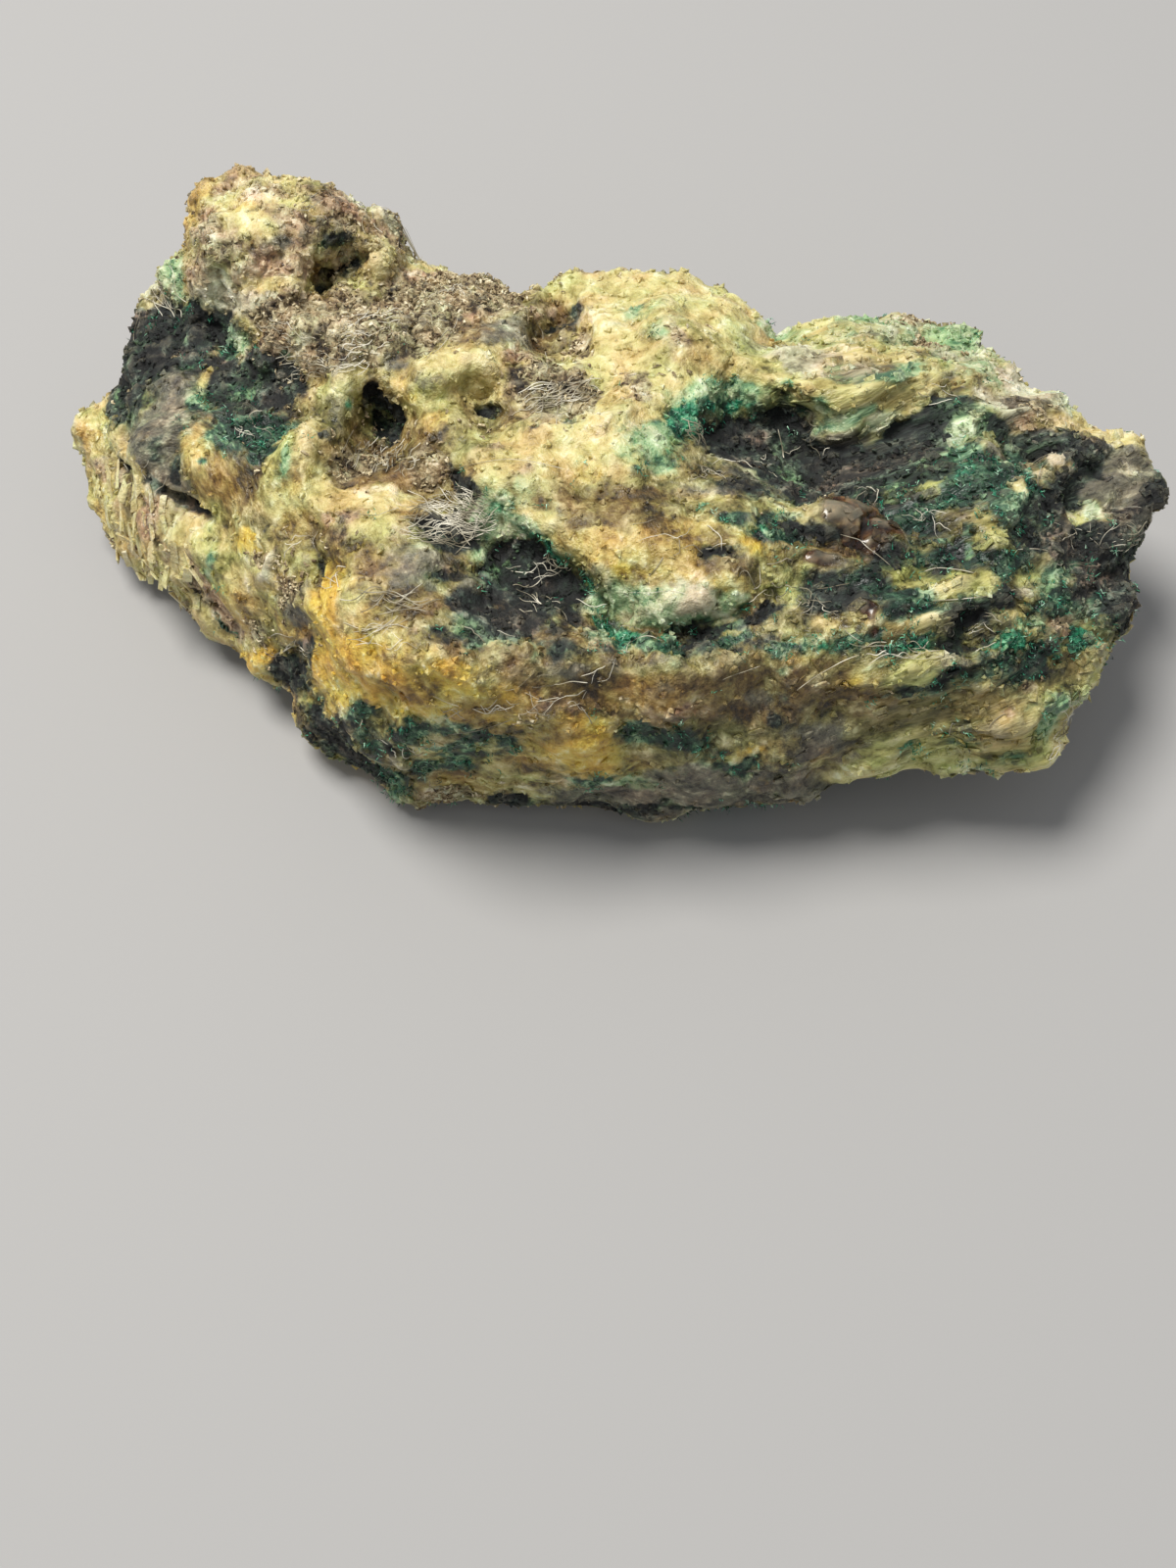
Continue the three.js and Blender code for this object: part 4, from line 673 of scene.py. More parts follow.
# For each kind of blotch its real width in mm, its seed, its detail, how broken it is, and how much it
# counts.
BLOTCHES = {
    "crumbs": (0.95, 4, 4.0, 0.6, 1.0), "stains": (2.4, 1, 3.0, 0.55, 0.7),
    "grains": (0.42, 2, 4.0, 0.62, 0.8), "grit": (0.17, 3, 2.0, 0.5, 0.3),
}
blotches = {}
mixed = 0.0
for name, (width_mm, seed, detail, broken, counts) in BLOTCHES.items():
    blotches[name] = add(
        tree, "ShaderNodeTexNoise", {"noise_dimensions": "4D"}, Vector=place, W=seed, Scale=1 / width_mm,
        Detail=detail, Roughness=broken,
    )
    mixed = add(
        tree, "ShaderNodeMath", {"operation": "MULTIPLY_ADD"}, in0=blotches[name], in1=counts, in2=mixed
    )
mixed = add(tree, "ShaderNodeMath", {"operation": "MULTIPLY_ADD"}, in0=tone, in1=CRYSTAL_TONE, in2=mixed)
vary = add(tree, "ShaderNodeMapRange", Value=mixed, From_Min=1.2, From_Max=1.7)

# The shades of each mineral, from its dark grains to its pale ones.
SHADES = {
    "mixed_grains": ["#433a20", "#736637", "#948852", "#aea36b", "#c7bc88", "#e4dcb4"],
    "amber_quartz": ["#4a3515", "#7b5f2a", "#9a7f3f", "#ae9452", "#c2aa6a", "#e0cf98"],
    "brown_quartz": ["#261b0f", "#49381f", "#66502e", "#7d673d", "#958052", "#bda97a"],
    "grey_quartz": ["#2b2a26", "#4b4840", "#625e52", "#777264", "#918b79", "#bbb5a0"],
    "olive_quartz": ["#2c2a13", "#57522a", "#776f41", "#8f8657", "#aaa074", "#d2ca9e"],
    "straw_quartz": ["#55531f", "#858245", "#aba765", "#c4c07d", "#dbd799", "#f1edc8"],
    "rosy_crumbs": ["#45332a", "#7b6352", "#a4896f", "#c1a88b", "#d8c4a7", "#f1e6d2"],
    "honey_quartz": ["#806730", "#ab8f50", "#c6ac66", "#d7c07b", "#e6d399", "#f8edca"],
    "gold_quartz": ["#9c7626", "#c0993a", "#d6b04c", "#e4c25c", "#eed27c", "#f8ebb8"],
    "cream_quartz": ["#a39359", "#bfaf73", "#d0c186", "#dacd94", "#e3d8a6", "#f3ebca"],
    "chalky_quartz": ["#7f7963", "#a6a086", "#c1bba0", "#d2cdb4", "#e2ddc7", "#f7f4e4"],
    "mint_stain": ["#456b54", "#749873", "#9bb68c", "#b7c9a2", "#d0dab9", "#edf2dc"],
    "iron_crust": ["#1a130e", "#4b3c2c", "#8b7b5e", "#b1a384", "#cfc4a4", "#eee7d0"],
    "glassy_quartz": ["#120904", "#24140b", "#382110", "#4c301b", "#68492c", "#8f714a"],
    "malachite": ["#030b07", "#0a2018", "#183529", "#31513f", "#5e8166", "#abc5a2"],
    "emerald_malachite": ["#021a13", "#083d2d", "#126048", "#268262", "#58a982", "#b0dbb9"],
    "black_ore": ["#030504", "#0b0f0d", "#181e1a", "#2f362f", "#586050", "#989c84"],
}
# Each mineral in turn: the seed of the specks at its rim, how ragged and how soft the rim is, and the share
# of the ground from which the mineral shows.
SHOWN_FROM = {
    "amber_quartz": (20, 0.9, 0.24, 0.26), "brown_quartz": (4, 0.9, 0.24, 0.3),
    "grey_quartz": (5, 0.9, 0.2, 0.31), "olive_quartz": (6, 0.9, 0.22, 0.32),
    "straw_quartz": (18, 0.9, 0.22, 0.3), "rosy_crumbs": (19, 1.0, 0.18, 0.31),
    "honey_quartz": (7, 0.9, 0.22, 0.31), "gold_quartz": (16, 0.9, 0.24, 0.3),
    "cream_quartz": (8, 0.9, 0.22, 0.32), "chalky_quartz": (9, 0.9, 0.18, 0.32),
    "mint_stain": (10, 1.0, 0.2, 0.3), "iron_crust": (11, 1.2, 0.14, 0.34),
    "malachite": (13, 1.0, 0.16, 0.31), "emerald_malachite": (15, 1.1, 0.16, 0.3),
    "black_ore": (14, 1.0, 0.15, 0.32), "glassy_quartz": (12, 0.3, 0.1, 0.3),
}
RIM_SPECKS_MM = 0.9
colour = add(tree, "ShaderNodeValToRGB", shades=SHADES["mixed_grains"], Fac=vary)
shown = {}
for name, (seed, ragged, soft, level) in SHOWN_FROM.items():
    amount = add(tree, "ShaderNodeAttribute", {"attribute_name": name}).outputs["Fac"]
    specks = add(
        tree, "ShaderNodeTexNoise", {"noise_dimensions": "4D"}, Vector=place, W=seed, Scale=1 / RIM_SPECKS_MM,
        Detail=5.0, Roughness=0.66,
    )
    amount = add(tree, "ShaderNodeMath", {"operation": "MULTIPLY_ADD"}, in0=specks, in1=ragged, in2=amount)
    middle = level + 0.5 * ragged
    shown[name] = add(
        tree, "ShaderNodeMapRange", {"interpolation_type": "SMOOTHSTEP"}, Value=amount,
        From_Min=middle - soft, From_Max=middle + soft,
    )
    own = add(tree, "ShaderNodeValToRGB", shades=SHADES[name], Fac=vary)
    colour = add(
        tree, "ShaderNodeMix", {"data_type": "RGBA"}, in0=shown[name], in6=colour, in7=own
    ).outputs[2]

# Painted shade and dirt darken what lies low, least on cream and glassy quartz.
standing = add(tree, "ShaderNodeAttribute", {"attribute_name": "standing"}).outputs["Fac"]
standing = add(
    tree, "ShaderNodeMath", {"operation": "MULTIPLY_ADD"}, in0=blotches["grains"], in1=0.4, in2=standing
)
cream_or_glassy = add(
    tree, "ShaderNodeMath", {"operation": "MAXIMUM"}, in0=shown["cream_quartz"], in1=shown["glassy_quartz"]
)
shade_and_dirt_strength = add(tree, "ShaderNodeMapRange", Value=cream_or_glassy, To_Min=0.8, To_Max=0.3)
shade_and_dirt_in_hollows = add(tree, "ShaderNodeMapRange", Value=standing, From_Min=0.62, From_Max=0.22)
shade_and_dirt_in_hollows = add(tree, "ShaderNodeMath", {"operation": "MULTIPLY"}, in0=shade_and_dirt_in_hollows, in1=shade_and_dirt_strength)
colour = add(
    tree, "ShaderNodeMix", {"data_type": "RGBA", "blend_type": "MULTIPLY"}, in0=shade_and_dirt_in_hollows, in6=colour,
    in7=linear("#85744f"),
).outputs[2]
# The iron stain turns rosy in places and the copper stain green, and the black crust shades from plum to
# blue-green.
TINT_MM = 1.7
tint = add(
    tree, "ShaderNodeTexNoise", {"noise_dimensions": "4D"}, Vector=place, W=17, Scale=1 / TINT_MM, Detail=3.0,
    Roughness=0.5,
)
tint = add(tree, "ShaderNodeMapRange", Value=tint, From_Min=0.36, From_Max=0.64)
stain_tint = add(tree, "ShaderNodeValToRGB", shades=["#f7e9de", "#f7f8ee", "#ebf8e5"], Fac=tint)
black_tint = add(tree, "ShaderNodeValToRGB", shades=["#ead0e0", "#d0dcee", "#caf0d8"], Fac=tint)
for where, tinted in ((1.0, stain_tint), (shown["black_ore"], black_tint)):
    colour = add(
        tree, "ShaderNodeMix", {"data_type": "RGBA", "blend_type": "MULTIPLY"}, in0=where, in6=colour,
        in7=tinted,
    ).outputs[2]
# Painted light, dust and wear lighten the edges that stand out, least on the dark minerals.
dark = add(tree, "ShaderNodeMath", {"operation": "MAXIMUM"}, in0=shown["malachite"], in1=shown["black_ore"])
dust_and_light_strength = add(tree, "ShaderNodeMapRange", Value=dark, To_Min=0.3, To_Max=0.12)
edges = add(tree, "ShaderNodeMapRange", Value=standing, From_Min=0.8, From_Max=1.25)
dust_and_edge_light = add(tree, "ShaderNodeMath", {"operation": "MULTIPLY"}, in0=edges, in1=dust_and_light_strength)
colour = add(
    tree, "ShaderNodeMix", {"data_type": "RGBA"}, in0=dust_and_edge_light, in6=colour, in7=linear("#ded6b6")
).outputs[2]

# Each crystal has its own flat face, so neighbours catch the light one at a time. Glassy quartz is smooth.
BUMP_MM = 0.26
GLASSY_ROUGHNESS = 0.24
CRUST_ROUGHNESS = 0.8
from_middle = add(
    tree, "ShaderNodeVectorMath", {"operation": "SUBTRACT"}, in0=place, in1=crystal.outputs["Position"]
)
lean = add(
    tree, "ShaderNodeVectorMath", {"operation": "SUBTRACT"}, in0=crystal.outputs["Color"], in1=(0.5, 0.5, 0.5)
)
face = add(
    tree, "ShaderNodeVectorMath", {"operation": "DOT_PRODUCT"}, in0=from_middle, in1=lean
).outputs["Value"]
facets = add(tree, "ShaderNodeMath", {"operation": "MULTIPLY_ADD"}, in0=crystal, in1=-0.35, in2=face)
bumps = add(tree, "ShaderNodeMath", {"operation": "MULTIPLY_ADD"}, in0=facets, in1=0.2, in2=mixed)
not_glassy = add(tree, "ShaderNodeMath", {"operation": "SUBTRACT"}, in0=1.0, in1=shown["glassy_quartz"])
bumps = add(tree, "ShaderNodeMath", {"operation": "MULTIPLY"}, in0=bumps, in1=not_glassy)
normal = add(tree, "ShaderNodeBump", Height=bumps, Strength=1.0, Distance=BUMP_MM * MM)
crusty = add(
    tree, "ShaderNodeMath", {"operation": "MAXIMUM"}, in0=shown["iron_crust"], in1=shown["black_ore"]
)
dull = add(tree, "ShaderNodeMapRange", Value=tone, To_Min=0.3, To_Max=0.75)
dull = add(tree, "ShaderNodeMix", {"data_type": "FLOAT"}, in0=crusty, in2=dull, in3=CRUST_ROUGHNESS)
dull = add(
    tree, "ShaderNodeMix", {"data_type": "FLOAT"}, in0=shown["glassy_quartz"], in2=dull, in3=GLASSY_ROUGHNESS
)

QUARTZ_IOR = 1.54
quartz_shader = add(
    tree, "ShaderNodeBsdfPrincipled", Base_Color=colour, Roughness=dull, Normal=normal, IOR=QUARTZ_IOR,
    Subsurface_Weight=0.35, Subsurface_Scale=0.4 * MM, Subsurface_Radius=(1.0, 0.85, 0.6),
)
add(tree, "ShaderNodeOutputMaterial", Surface=quartz_shader)
stone_mesh.materials.append(finish)
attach(specimen, "root")
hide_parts("stone")


# The sugary grains
# Small sharp crystals stand on the broken surface all over, each half sunk in it. They are the stone's own
# minerals, so they wear its finish, and each has a tone of its own.
GRAIN_COUNT = 9000
GRAIN_MM = (0.08, 0.24)
GRAIN_CORNERS = np.array([(1, 0, 0), (-1, 0, 0), (0, 1, 0), (0, -1, 0), (0, 0, 1), (0, 0, -1)], float)
GRAIN_FACES = [(0, 2, 4), (2, 1, 4), (1, 3, 4), (3, 0, 4), (2, 0, 5), (1, 2, 5), (3, 1, 5), (0, 3, 5)]
OWN_SHIFT_MM = 0.15


def spots(count, dice, weight):
    """Random places on the relief, more where the weight is more: where each is, the way it faces, and the
    three points of the mesh round it with the share of each."""
    a, b, c = (relief[corners[:, k]] for k in range(3))
    across = np.cross(b - a, c - a)
    size = np.linalg.norm(across, axis=1)
    likely = size * weight[corners].mean(axis=1)
    chosen = dice.choice(len(corners), count, p=likely / likely.sum())
    shares = dice.dirichlet((1, 1, 1), count)
    at = np.einsum("nk,nkx->nx", shares, relief[corners[chosen]])
    return at, across[chosen] / size[chosen, None], (corners[chosen], shares)


def joined(name, shapes, faces):
    """One object of many small shapes in mm that have the same faces, kept inside the stone's box."""
    count, size = shapes.shape[:2]
    inside = np.clip(shapes.reshape(-1, 3), low, high) * MM
    every_face = np.array(faces)[None] + size * np.arange(count)[:, None, None]
    mesh = bpy.data.meshes.new(name)
    mesh.from_pydata(inside.tolist(), [], every_face.reshape(-1, len(faces[0])).tolist())
    piece = bpy.data.objects.new(name, mesh)
    bpy.context.scene.collection.objects.link(piece)
    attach(piece, "root")
    return piece


def in_the_finish_of_the_stone(piece, round_it, copies, shift, more=None):
    """Gives the piece the stone's finish, as it is where each small shape stands, moved by the shape's own
    shift, with more of some minerals."""
    around, shares = round_it
    for name, amount in at_each_point.items():
        here = np.repeat(np.sum(amount[around] * shares, axis=1), copies) + (more or {}).get(name, 0)
        piece.data.attributes.new(name, "FLOAT", "POINT").data.foreach_set("value", here.astype(np.float32))
    start = np.repeat(np.einsum("nk,nkx->nx", shares, pattern[around]) + shift, copies, axis=0)
    seat = np.repeat(np.einsum("nk,nkx->nx", shares, relief[around]), copies, axis=0)
    own = np.empty(len(piece.data.vertices) * 3, np.float32)
    piece.data.vertices.foreach_get("co", own)
    place_of_each = start + own.reshape(-1, 3) / MM - seat
    piece.data.attributes.new("pattern", "FLOAT_VECTOR", "POINT").data.foreach_set(
        "vector", place_of_each.astype(np.float32).ravel()
    )
    piece.data.materials.append(finish)


def random_turns(count, dice):
    """Rotation matrices, any way round."""
    w, x, y, z = dice.normal(size=(count, 4)).T
    length = np.sqrt(w * w + x * x + y * y + z * z)
    w, x, y, z = w / length, x / length, y / length, z / length
    rows = [
        [1 - 2 * (y * y + z * z), 2 * (x * y - z * w), 2 * (x * z + y * w)],
        [2 * (x * y + z * w), 1 - 2 * (x * x + z * z), 2 * (y * z - x * w)],
        [2 * (x * z - y * w), 2 * (y * z + x * w), 1 - 2 * (x * x + y * y)],
    ]
    return np.moveaxis(np.array(rows), 2, 0)


dice = np.random.default_rng(11)
off_the_floor = np.clip((relief[:, 2] - 0.2) / 0.5, 0, 1)
at, _, round_it = spots(GRAIN_COUNT, dice, off_the_floor * np.clip(1.1 - calm, 0, 1) ** 2)
radius = dice.uniform(*GRAIN_MM, GRAIN_COUNT)
shapes = GRAIN_CORNERS[None] * dice.uniform(0.55, 1.25, (GRAIN_COUNT, 6, 1)) * radius[:, None, None]
shapes += dice.uniform(-0.2, 0.2, shapes.shape) * radius[:, None, None]
shapes = np.einsum("nij,nkj->nki", random_turns(GRAIN_COUNT, dice), shapes) + at[:, None]
sugary_grains = joined("sugary_grains", shapes, GRAIN_FACES)
shift = dice.uniform(-OWN_SHIFT_MM, OWN_SHIFT_MM, (GRAIN_COUNT, 3))
in_the_finish_of_the_stone(sugary_grains, round_it, len(GRAIN_CORNERS), shift)

# The thin plates
# The left flank sheds upright flakes like bark, the right end parts into thin leaves that run up to the
# right, and the crusts crumble into chips. Each is a thin broken plate of the minerals of its ground.
PLATE_CORNERS = np.array([(x, y, z) for z in (-1, 1) for y in (-1, 1) for x in (-1, 1)], float)
PLATE_FACES = [(0, 2, 3, 1), (4, 5, 7, 6), (0, 1, 5, 4), (2, 6, 7, 3), (0, 4, 6, 2), (1, 3, 7, 5)]
PLATE_SHIFT_MM = 0.3


def plates(name, count, seed, weight, run, sizes_mm, lean, apart=None, more=None):
    """Thin broken plates laid along a direction on the stone, each leaning about its own length. The sizes
    are the least and most half length, half width and half thickness. With a length and a width apart, none
    lies nearer to another than that."""
    dice = np.random.default_rng(seed)
    at, faces_way, (around, shares) = spots(count, dice, weight)
    if apart:
        placed = []
        for n in range(count):
            off = at[placed] - at[n]
            along = off @ run
            aside = np.linalg.norm(off - along[:, None] * run, axis=1)
            if np.all((along / apart[0]) ** 2 + (aside / apart[1]) ** 2 > 1):
                placed.append(n)
        at, faces_way, around, shares = at[placed], faces_way[placed], around[placed], shares[placed]
        count = len(placed)
    long_way = run + dice.normal(0, 0.12 if apart else 0.18, (count, 3))
    long_way -= np.sum(long_way * faces_way, axis=1, keepdims=True) * faces_way
    long_way /= np.linalg.norm(long_way, axis=1, keepdims=True)
    wide_way = np.cross(faces_way, long_way)
    angle = dice.uniform(*lean, count)[:, None]
    lifted = np.cos(angle) * wide_way + np.sin(angle) * faces_way
    thick_way = np.cross(long_way, lifted)
    frames = np.stack([long_way, lifted, thick_way], axis=1)
    sizes = np.stack([dice.uniform(*least_and_most, count) for least_and_most in sizes_mm], axis=1)
    shapes = PLATE_CORNERS[None] * dice.uniform(0.45, 1.2, (count, 8, 3)) * sizes[:, None]
    shapes = np.einsum("nki,nij->nkj", shapes, frames) + at[:, None]
    piece = joined(name, shapes, PLATE_FACES)
    shift = dice.uniform(-PLATE_SHIFT_MM, PLATE_SHIFT_MM, (count, 3))
    in_the_finish_of_the_stone(piece, (around, shares), len(PLATE_CORNERS), shift, more)


flaky = np.clip(1.5 - patch(140, 550, 3.6, 1.9, -52), 0, 1) * (1 - minerals["black_ore"]) ** 2
# The flakes count as standing out more, so they get less painted shade and more painted light and dust.
plates(
    "bark_flakes", 5000, 21, off_the_floor * flaky, along_bark, ((0.5, 0.85), (0.17, 0.28), (0.06, 0.1)),
    (-0.08, 0.08), (1.5, 0.65),
    {"cream_quartz": 0.3, "rosy_crumbs": 0.35, "honey_quartz": 0.2, "standing": 0.35},
)
plates(
    "dark_leaves", 1300, 22, off_the_floor * sheeted, along_sheets, ((0.15, 0.45), (0.1, 0.28), (0.04, 0.09)),
    (0.0, 0.3),
)
crumbling = (minerals["iron_crust"] + 0.2 * minerals["black_ore"]) ** 1.5
plates(
    "crust_chips", 1400, 23, off_the_floor * crumbling, TO_RIGHT, ((0.08, 0.22), (0.05, 0.14), (0.02, 0.06)),
    (0.0, 0.9),
)

# The worm-like crust grains
# Limonite and pale clay stand on the brown crust as short bent grains, cream where they catch dust, close
# together. Each is a thin tube that creeps a little way over the ground and arches up in its middle.
WORM_COUNT = 3200
WORM_POINTS = 4
WORM_THICK_MM = (0.06, 0.17)
WORM_STEP_MM = (0.06, 0.17)
HIGH_GROUND_MM = 12.5
skin = BVHTree.FromPolygons(relief.tolist(), corners.tolist())


def crept(starts, heading, step_mm, points_each, turning, dice):
    """Paths that start at these places and creep over the stone, and its facing at each point of them."""
    count = len(starts)
    paths = np.empty((count, points_each, 3))
    facings = np.empty((count, points_each, 3))
    steps = np.broadcast_to(step_mm, count)
    turns = np.broadcast_to(turning, count)
    for n in range(count):
        place, way = starts[n], heading[n]
        for k in range(points_each):
            near, facing_here, _, _ = skin.find_nearest(Vector(place))
            near, facing_here = np.array(near), np.array(facing_here)
            way = way - (way @ facing_here) * facing_here
            way = way / max(np.linalg.norm(way), 1e-6)
            paths[n, k], facings[n, k] = near, facing_here
            way = way + turns[n] * dice.normal(size=3)
            place = near + steps[n] * way / np.linalg.norm(way)
    return paths, facings


def tubes(paths, thick_mm):
    """Thin three-sided tubes along paths of the same number of points, drawn in at their ends."""
    count, size = paths.shape[:2]
    ahead = np.gradient(paths, axis=1)
    ahead /= np.maximum(np.linalg.norm(ahead, axis=2, keepdims=True), 1e-9)
    steady = np.array((0.31, 0.52, 0.79))
    one = np.cross(ahead, steady)
    one /= np.maximum(np.linalg.norm(one, axis=2, keepdims=True), 1e-9)
    other = np.cross(ahead, one)
    width = np.broadcast_to(np.asarray(thick_mm)[:, None, None] / 2, (count, size, 1)).copy()
    width[:, [0, -1]] *= 0.4
    turns = (0, math.tau / 3, math.tau * 2 / 3)
    rings = [paths + width * (math.cos(turn) * one + math.sin(turn) * other) for turn in turns]
    faces = [(0, 2, 1), (3 * size - 3, 3 * size - 2, 3 * size - 1)]
    for k in range(0, 3 * size - 3, 3):
        for side in range(3):
            a, b = k + side, k + (side + 1) % 3
            faces += [(a, b, b + 3), (a, b + 3, a + 3)]
    return np.stack(rings, axis=2).reshape(count, size * 3, 3), faces


def weathered(name, blotch_mm, detail, broken, shades, roughness):
    """A material of one plain stuff, its shades in soft blotches of this real width."""
    stuff = bpy.data.materials.new(name)
    stuff.use_nodes = True
    tree = stuff.node_tree
    tree.nodes.clear()
    place = add(tree, "ShaderNodeTexCoord").outputs["Object"]
    blotches = add(
        tree, "ShaderNodeTexNoise", Vector=place, Scale=1 / (blotch_mm * MM), Detail=detail, Roughness=broken
    )
    vary = add(tree, "ShaderNodeMapRange", Value=blotches, From_Min=0.36, From_Max=0.64)
    colour = add(tree, "ShaderNodeValToRGB", shades=shades, Fac=vary)
    shader = add(tree, "ShaderNodeBsdfPrincipled", Base_Color=colour, Roughness=roughness)
    add(tree, "ShaderNodeOutputMaterial", Surface=shader)
    return stuff


dice = np.random.default_rng(31)
bunched = np.exp(3.5 * grain_noise(1.1, 71, 2)) * np.where(points[:, 2] > HIGH_GROUND_MM, 0.25, 1.0)
at, _, round_it = spots(WORM_COUNT, dice, off_the_floor * minerals["iron_crust"] ** 1.8 * bunched)
thick = dice.uniform(*WORM_THICK_MM, WORM_COUNT)
any_way = dice.normal(size=(WORM_COUNT, 3))
step = dice.uniform(*WORM_STEP_MM, WORM_COUNT)
paths, facings = crept(at, any_way, step, WORM_POINTS, 0.7, dice)
arch = np.array((0.0, 1.0, 1.0, 0.0))[None, :, None] * dice.uniform(0, 0.12, (WORM_COUNT, 1, 1))
paths += facings * (0.25 * thick[:, None, None] + arch)
crust_worms = joined("crust_worms", *tubes(paths, thick))
# Dusty limonite is dull: it gives the eye dark brown to cream in small blotches.
LIMONITE_SHADES = ["#3a2c20", "#75634b", "#a3926f", "#c6b996", "#e6dcc0"]
crust_worms.data.materials.append(weathered("dusty_limonite", 0.4, 4.0, 0.7, LIMONITE_SHADES, 0.85))

# The malachite tufts
# Malachite grows as silky sprays of short green needles, thickest at the rims of the dark hollows. Each
# needle is a thin three-sided spike with its foot in the ground, and the needles of a tuft start close
# together.
NEEDLE_COUNT = 9000
TUFT_COUNT = 900
NEEDLE_THICK_MM = (0.018, 0.035)
NEEDLE_LONG_MM = (0.12, 0.34)
TUFT_SPREAD_MM = 0.12
dice = np.random.default_rng(41)
green = minerals["emerald_malachite"] + 0.45 * minerals["malachite"] + 0.15 * minerals["mint_stain"]
at, faces_way, _ = spots(TUFT_COUNT, dice, off_the_floor * green ** 1.5)
tuft = dice.integers(0, TUFT_COUNT, NEEDLE_COUNT)
foot = at[tuft] + dice.normal(0, TUFT_SPREAD_MM, (NEEDLE_COUNT, 3))
way = 0.15 * faces_way[tuft] + dice.normal(0, 0.5, (NEEDLE_COUNT, 3))
way /= np.linalg.norm(way, axis=1, keepdims=True)
aside = np.cross(way, (0.3, 0.5, 0.81))
aside /= np.linalg.norm(aside, axis=1, keepdims=True)
third = np.cross(way, aside)
thin = dice.uniform(*NEEDLE_THICK_MM, (NEEDLE_COUNT, 1))
tip = foot + dice.uniform(*NEEDLE_LONG_MM, (NEEDLE_COUNT, 1)) * way
root_corners = [foot + thin * aside, foot + thin * (0.87 * third - 0.5 * aside)]
root_corners.append(foot - thin * (0.87 * third + 0.5 * aside))
needles = np.stack([*root_corners, tip], axis=1)
malachite_tufts = joined("malachite_tufts", needles, [(0, 2, 1), (0, 1, 3), (1, 2, 3), (2, 0, 3)])
# Fibrous malachite has a silky gloss: it gives the eye deep to pale green in small blotches.
MALACHITE_SHADES = ["#06251c", "#12523f", "#2a8264", "#5fae88", "#b9dcc0"]
malachite_tufts.data.materials.append(weathered("silky_malachite", 0.6, 3.0, 0.5, MALACHITE_SHADES, 0.38))

# The lint
# Fine pale fibres of dust and cloth have caught on the rough crust: a few lie nearly straight across it,
# and the rest curl together in the hollows. They are dirt on the stone, not a part of it.
# Single fibres: where each starts and ends in the picture.
FIBRES = [
    (433, 370, 470, 313), (545, 326, 553, 351), (556, 359, 556, 382), (463, 478, 575, 480),
    (364, 529, 407, 522), (369, 609, 407, 612), (450, 752, 522, 732), (547, 714, 570, 711),
    (593, 721, 604, 737), (443, 709, 468, 718), (588, 614, 619, 616), (677, 734, 683, 747),
    (652, 553, 688, 551), (662, 588, 677, 569), (859, 543, 908, 576), (834, 602, 867, 597),
    (941, 584, 992, 586), (826, 632, 834, 607), (898, 663, 961, 670), (928, 660, 961, 659),
    (995, 660, 1015, 655), (734, 691, 775, 678), (813, 702, 877, 668), (969, 747, 971, 737),
    (1010, 742, 1025, 729), (791, 441, 803, 465), (840, 465, 847, 455), (942, 525, 966, 525),
    (1054, 497, 1078, 469), (1060, 492, 1076, 474), (1092, 539, 1124, 546), (1131, 525, 1178, 519),
    (1160, 549, 1172, 549), (952, 613, 1036, 602), (700, 430, 710, 455), (706, 432, 712, 446),
    (150, 284, 168, 312), (158, 287, 175, 318), (127, 345, 135, 310), (570, 404, 590, 396),
    (350, 462, 356, 440), (505, 640, 530, 648), (378, 470, 396, 452), (640, 606, 700, 609),
    (380, 640, 420, 634), (385, 628, 430, 622), (860, 640, 880, 655), (1100, 742, 1118, 760),
    (1040, 560, 1085, 573),
]
# Mats of strands combed one way: across, down, half width and half height in pixels, how many, tilt, and the
# longest in pixels.
MATS = [
    (456, 518, 30, 10, 34, -4, 62), (456, 534, 32, 12, 44, 8, 58), (455, 550, 26, 8, 26, -10, 46),
    (476, 508, 14, 8, 14, -30, 40), (574, 402, 26, 10, 30, 22, 46), (560, 412, 24, 8, 20, 30, 40),
    (545, 588, 26, 16, 7, 15, 30), (560, 612, 26, 14, 8, -40, 30), (392, 468, 34, 12, 40, 60, 22),
    (330, 372, 40, 14, 44, 10, 26), (290, 345, 24, 16, 22, -10, 24), (375, 338, 30, 18, 30, 20, 28),
    (385, 215, 24, 16, 22, -45, 34), (340, 215, 34, 14, 14, -10, 26), (400, 615, 30, 10, 14, 8, 48),
    (400, 648, 34, 12, 14, 12, 44), (750, 480, 40, 16, 16, -15, 22), (300, 660, 16, 12, 10, 20, 26),
    (530, 710, 90, 16, 10, 5, 44), (1150, 545, 24, 14, 10, 25, 36), (900, 665, 50, 8, 8, 5, 44),
    (1115, 765, 16, 20, 6, 35, 40), (140, 500, 30, 40, 8, 50, 30), (170, 300, 16, 22, 8, -60, 34),
]
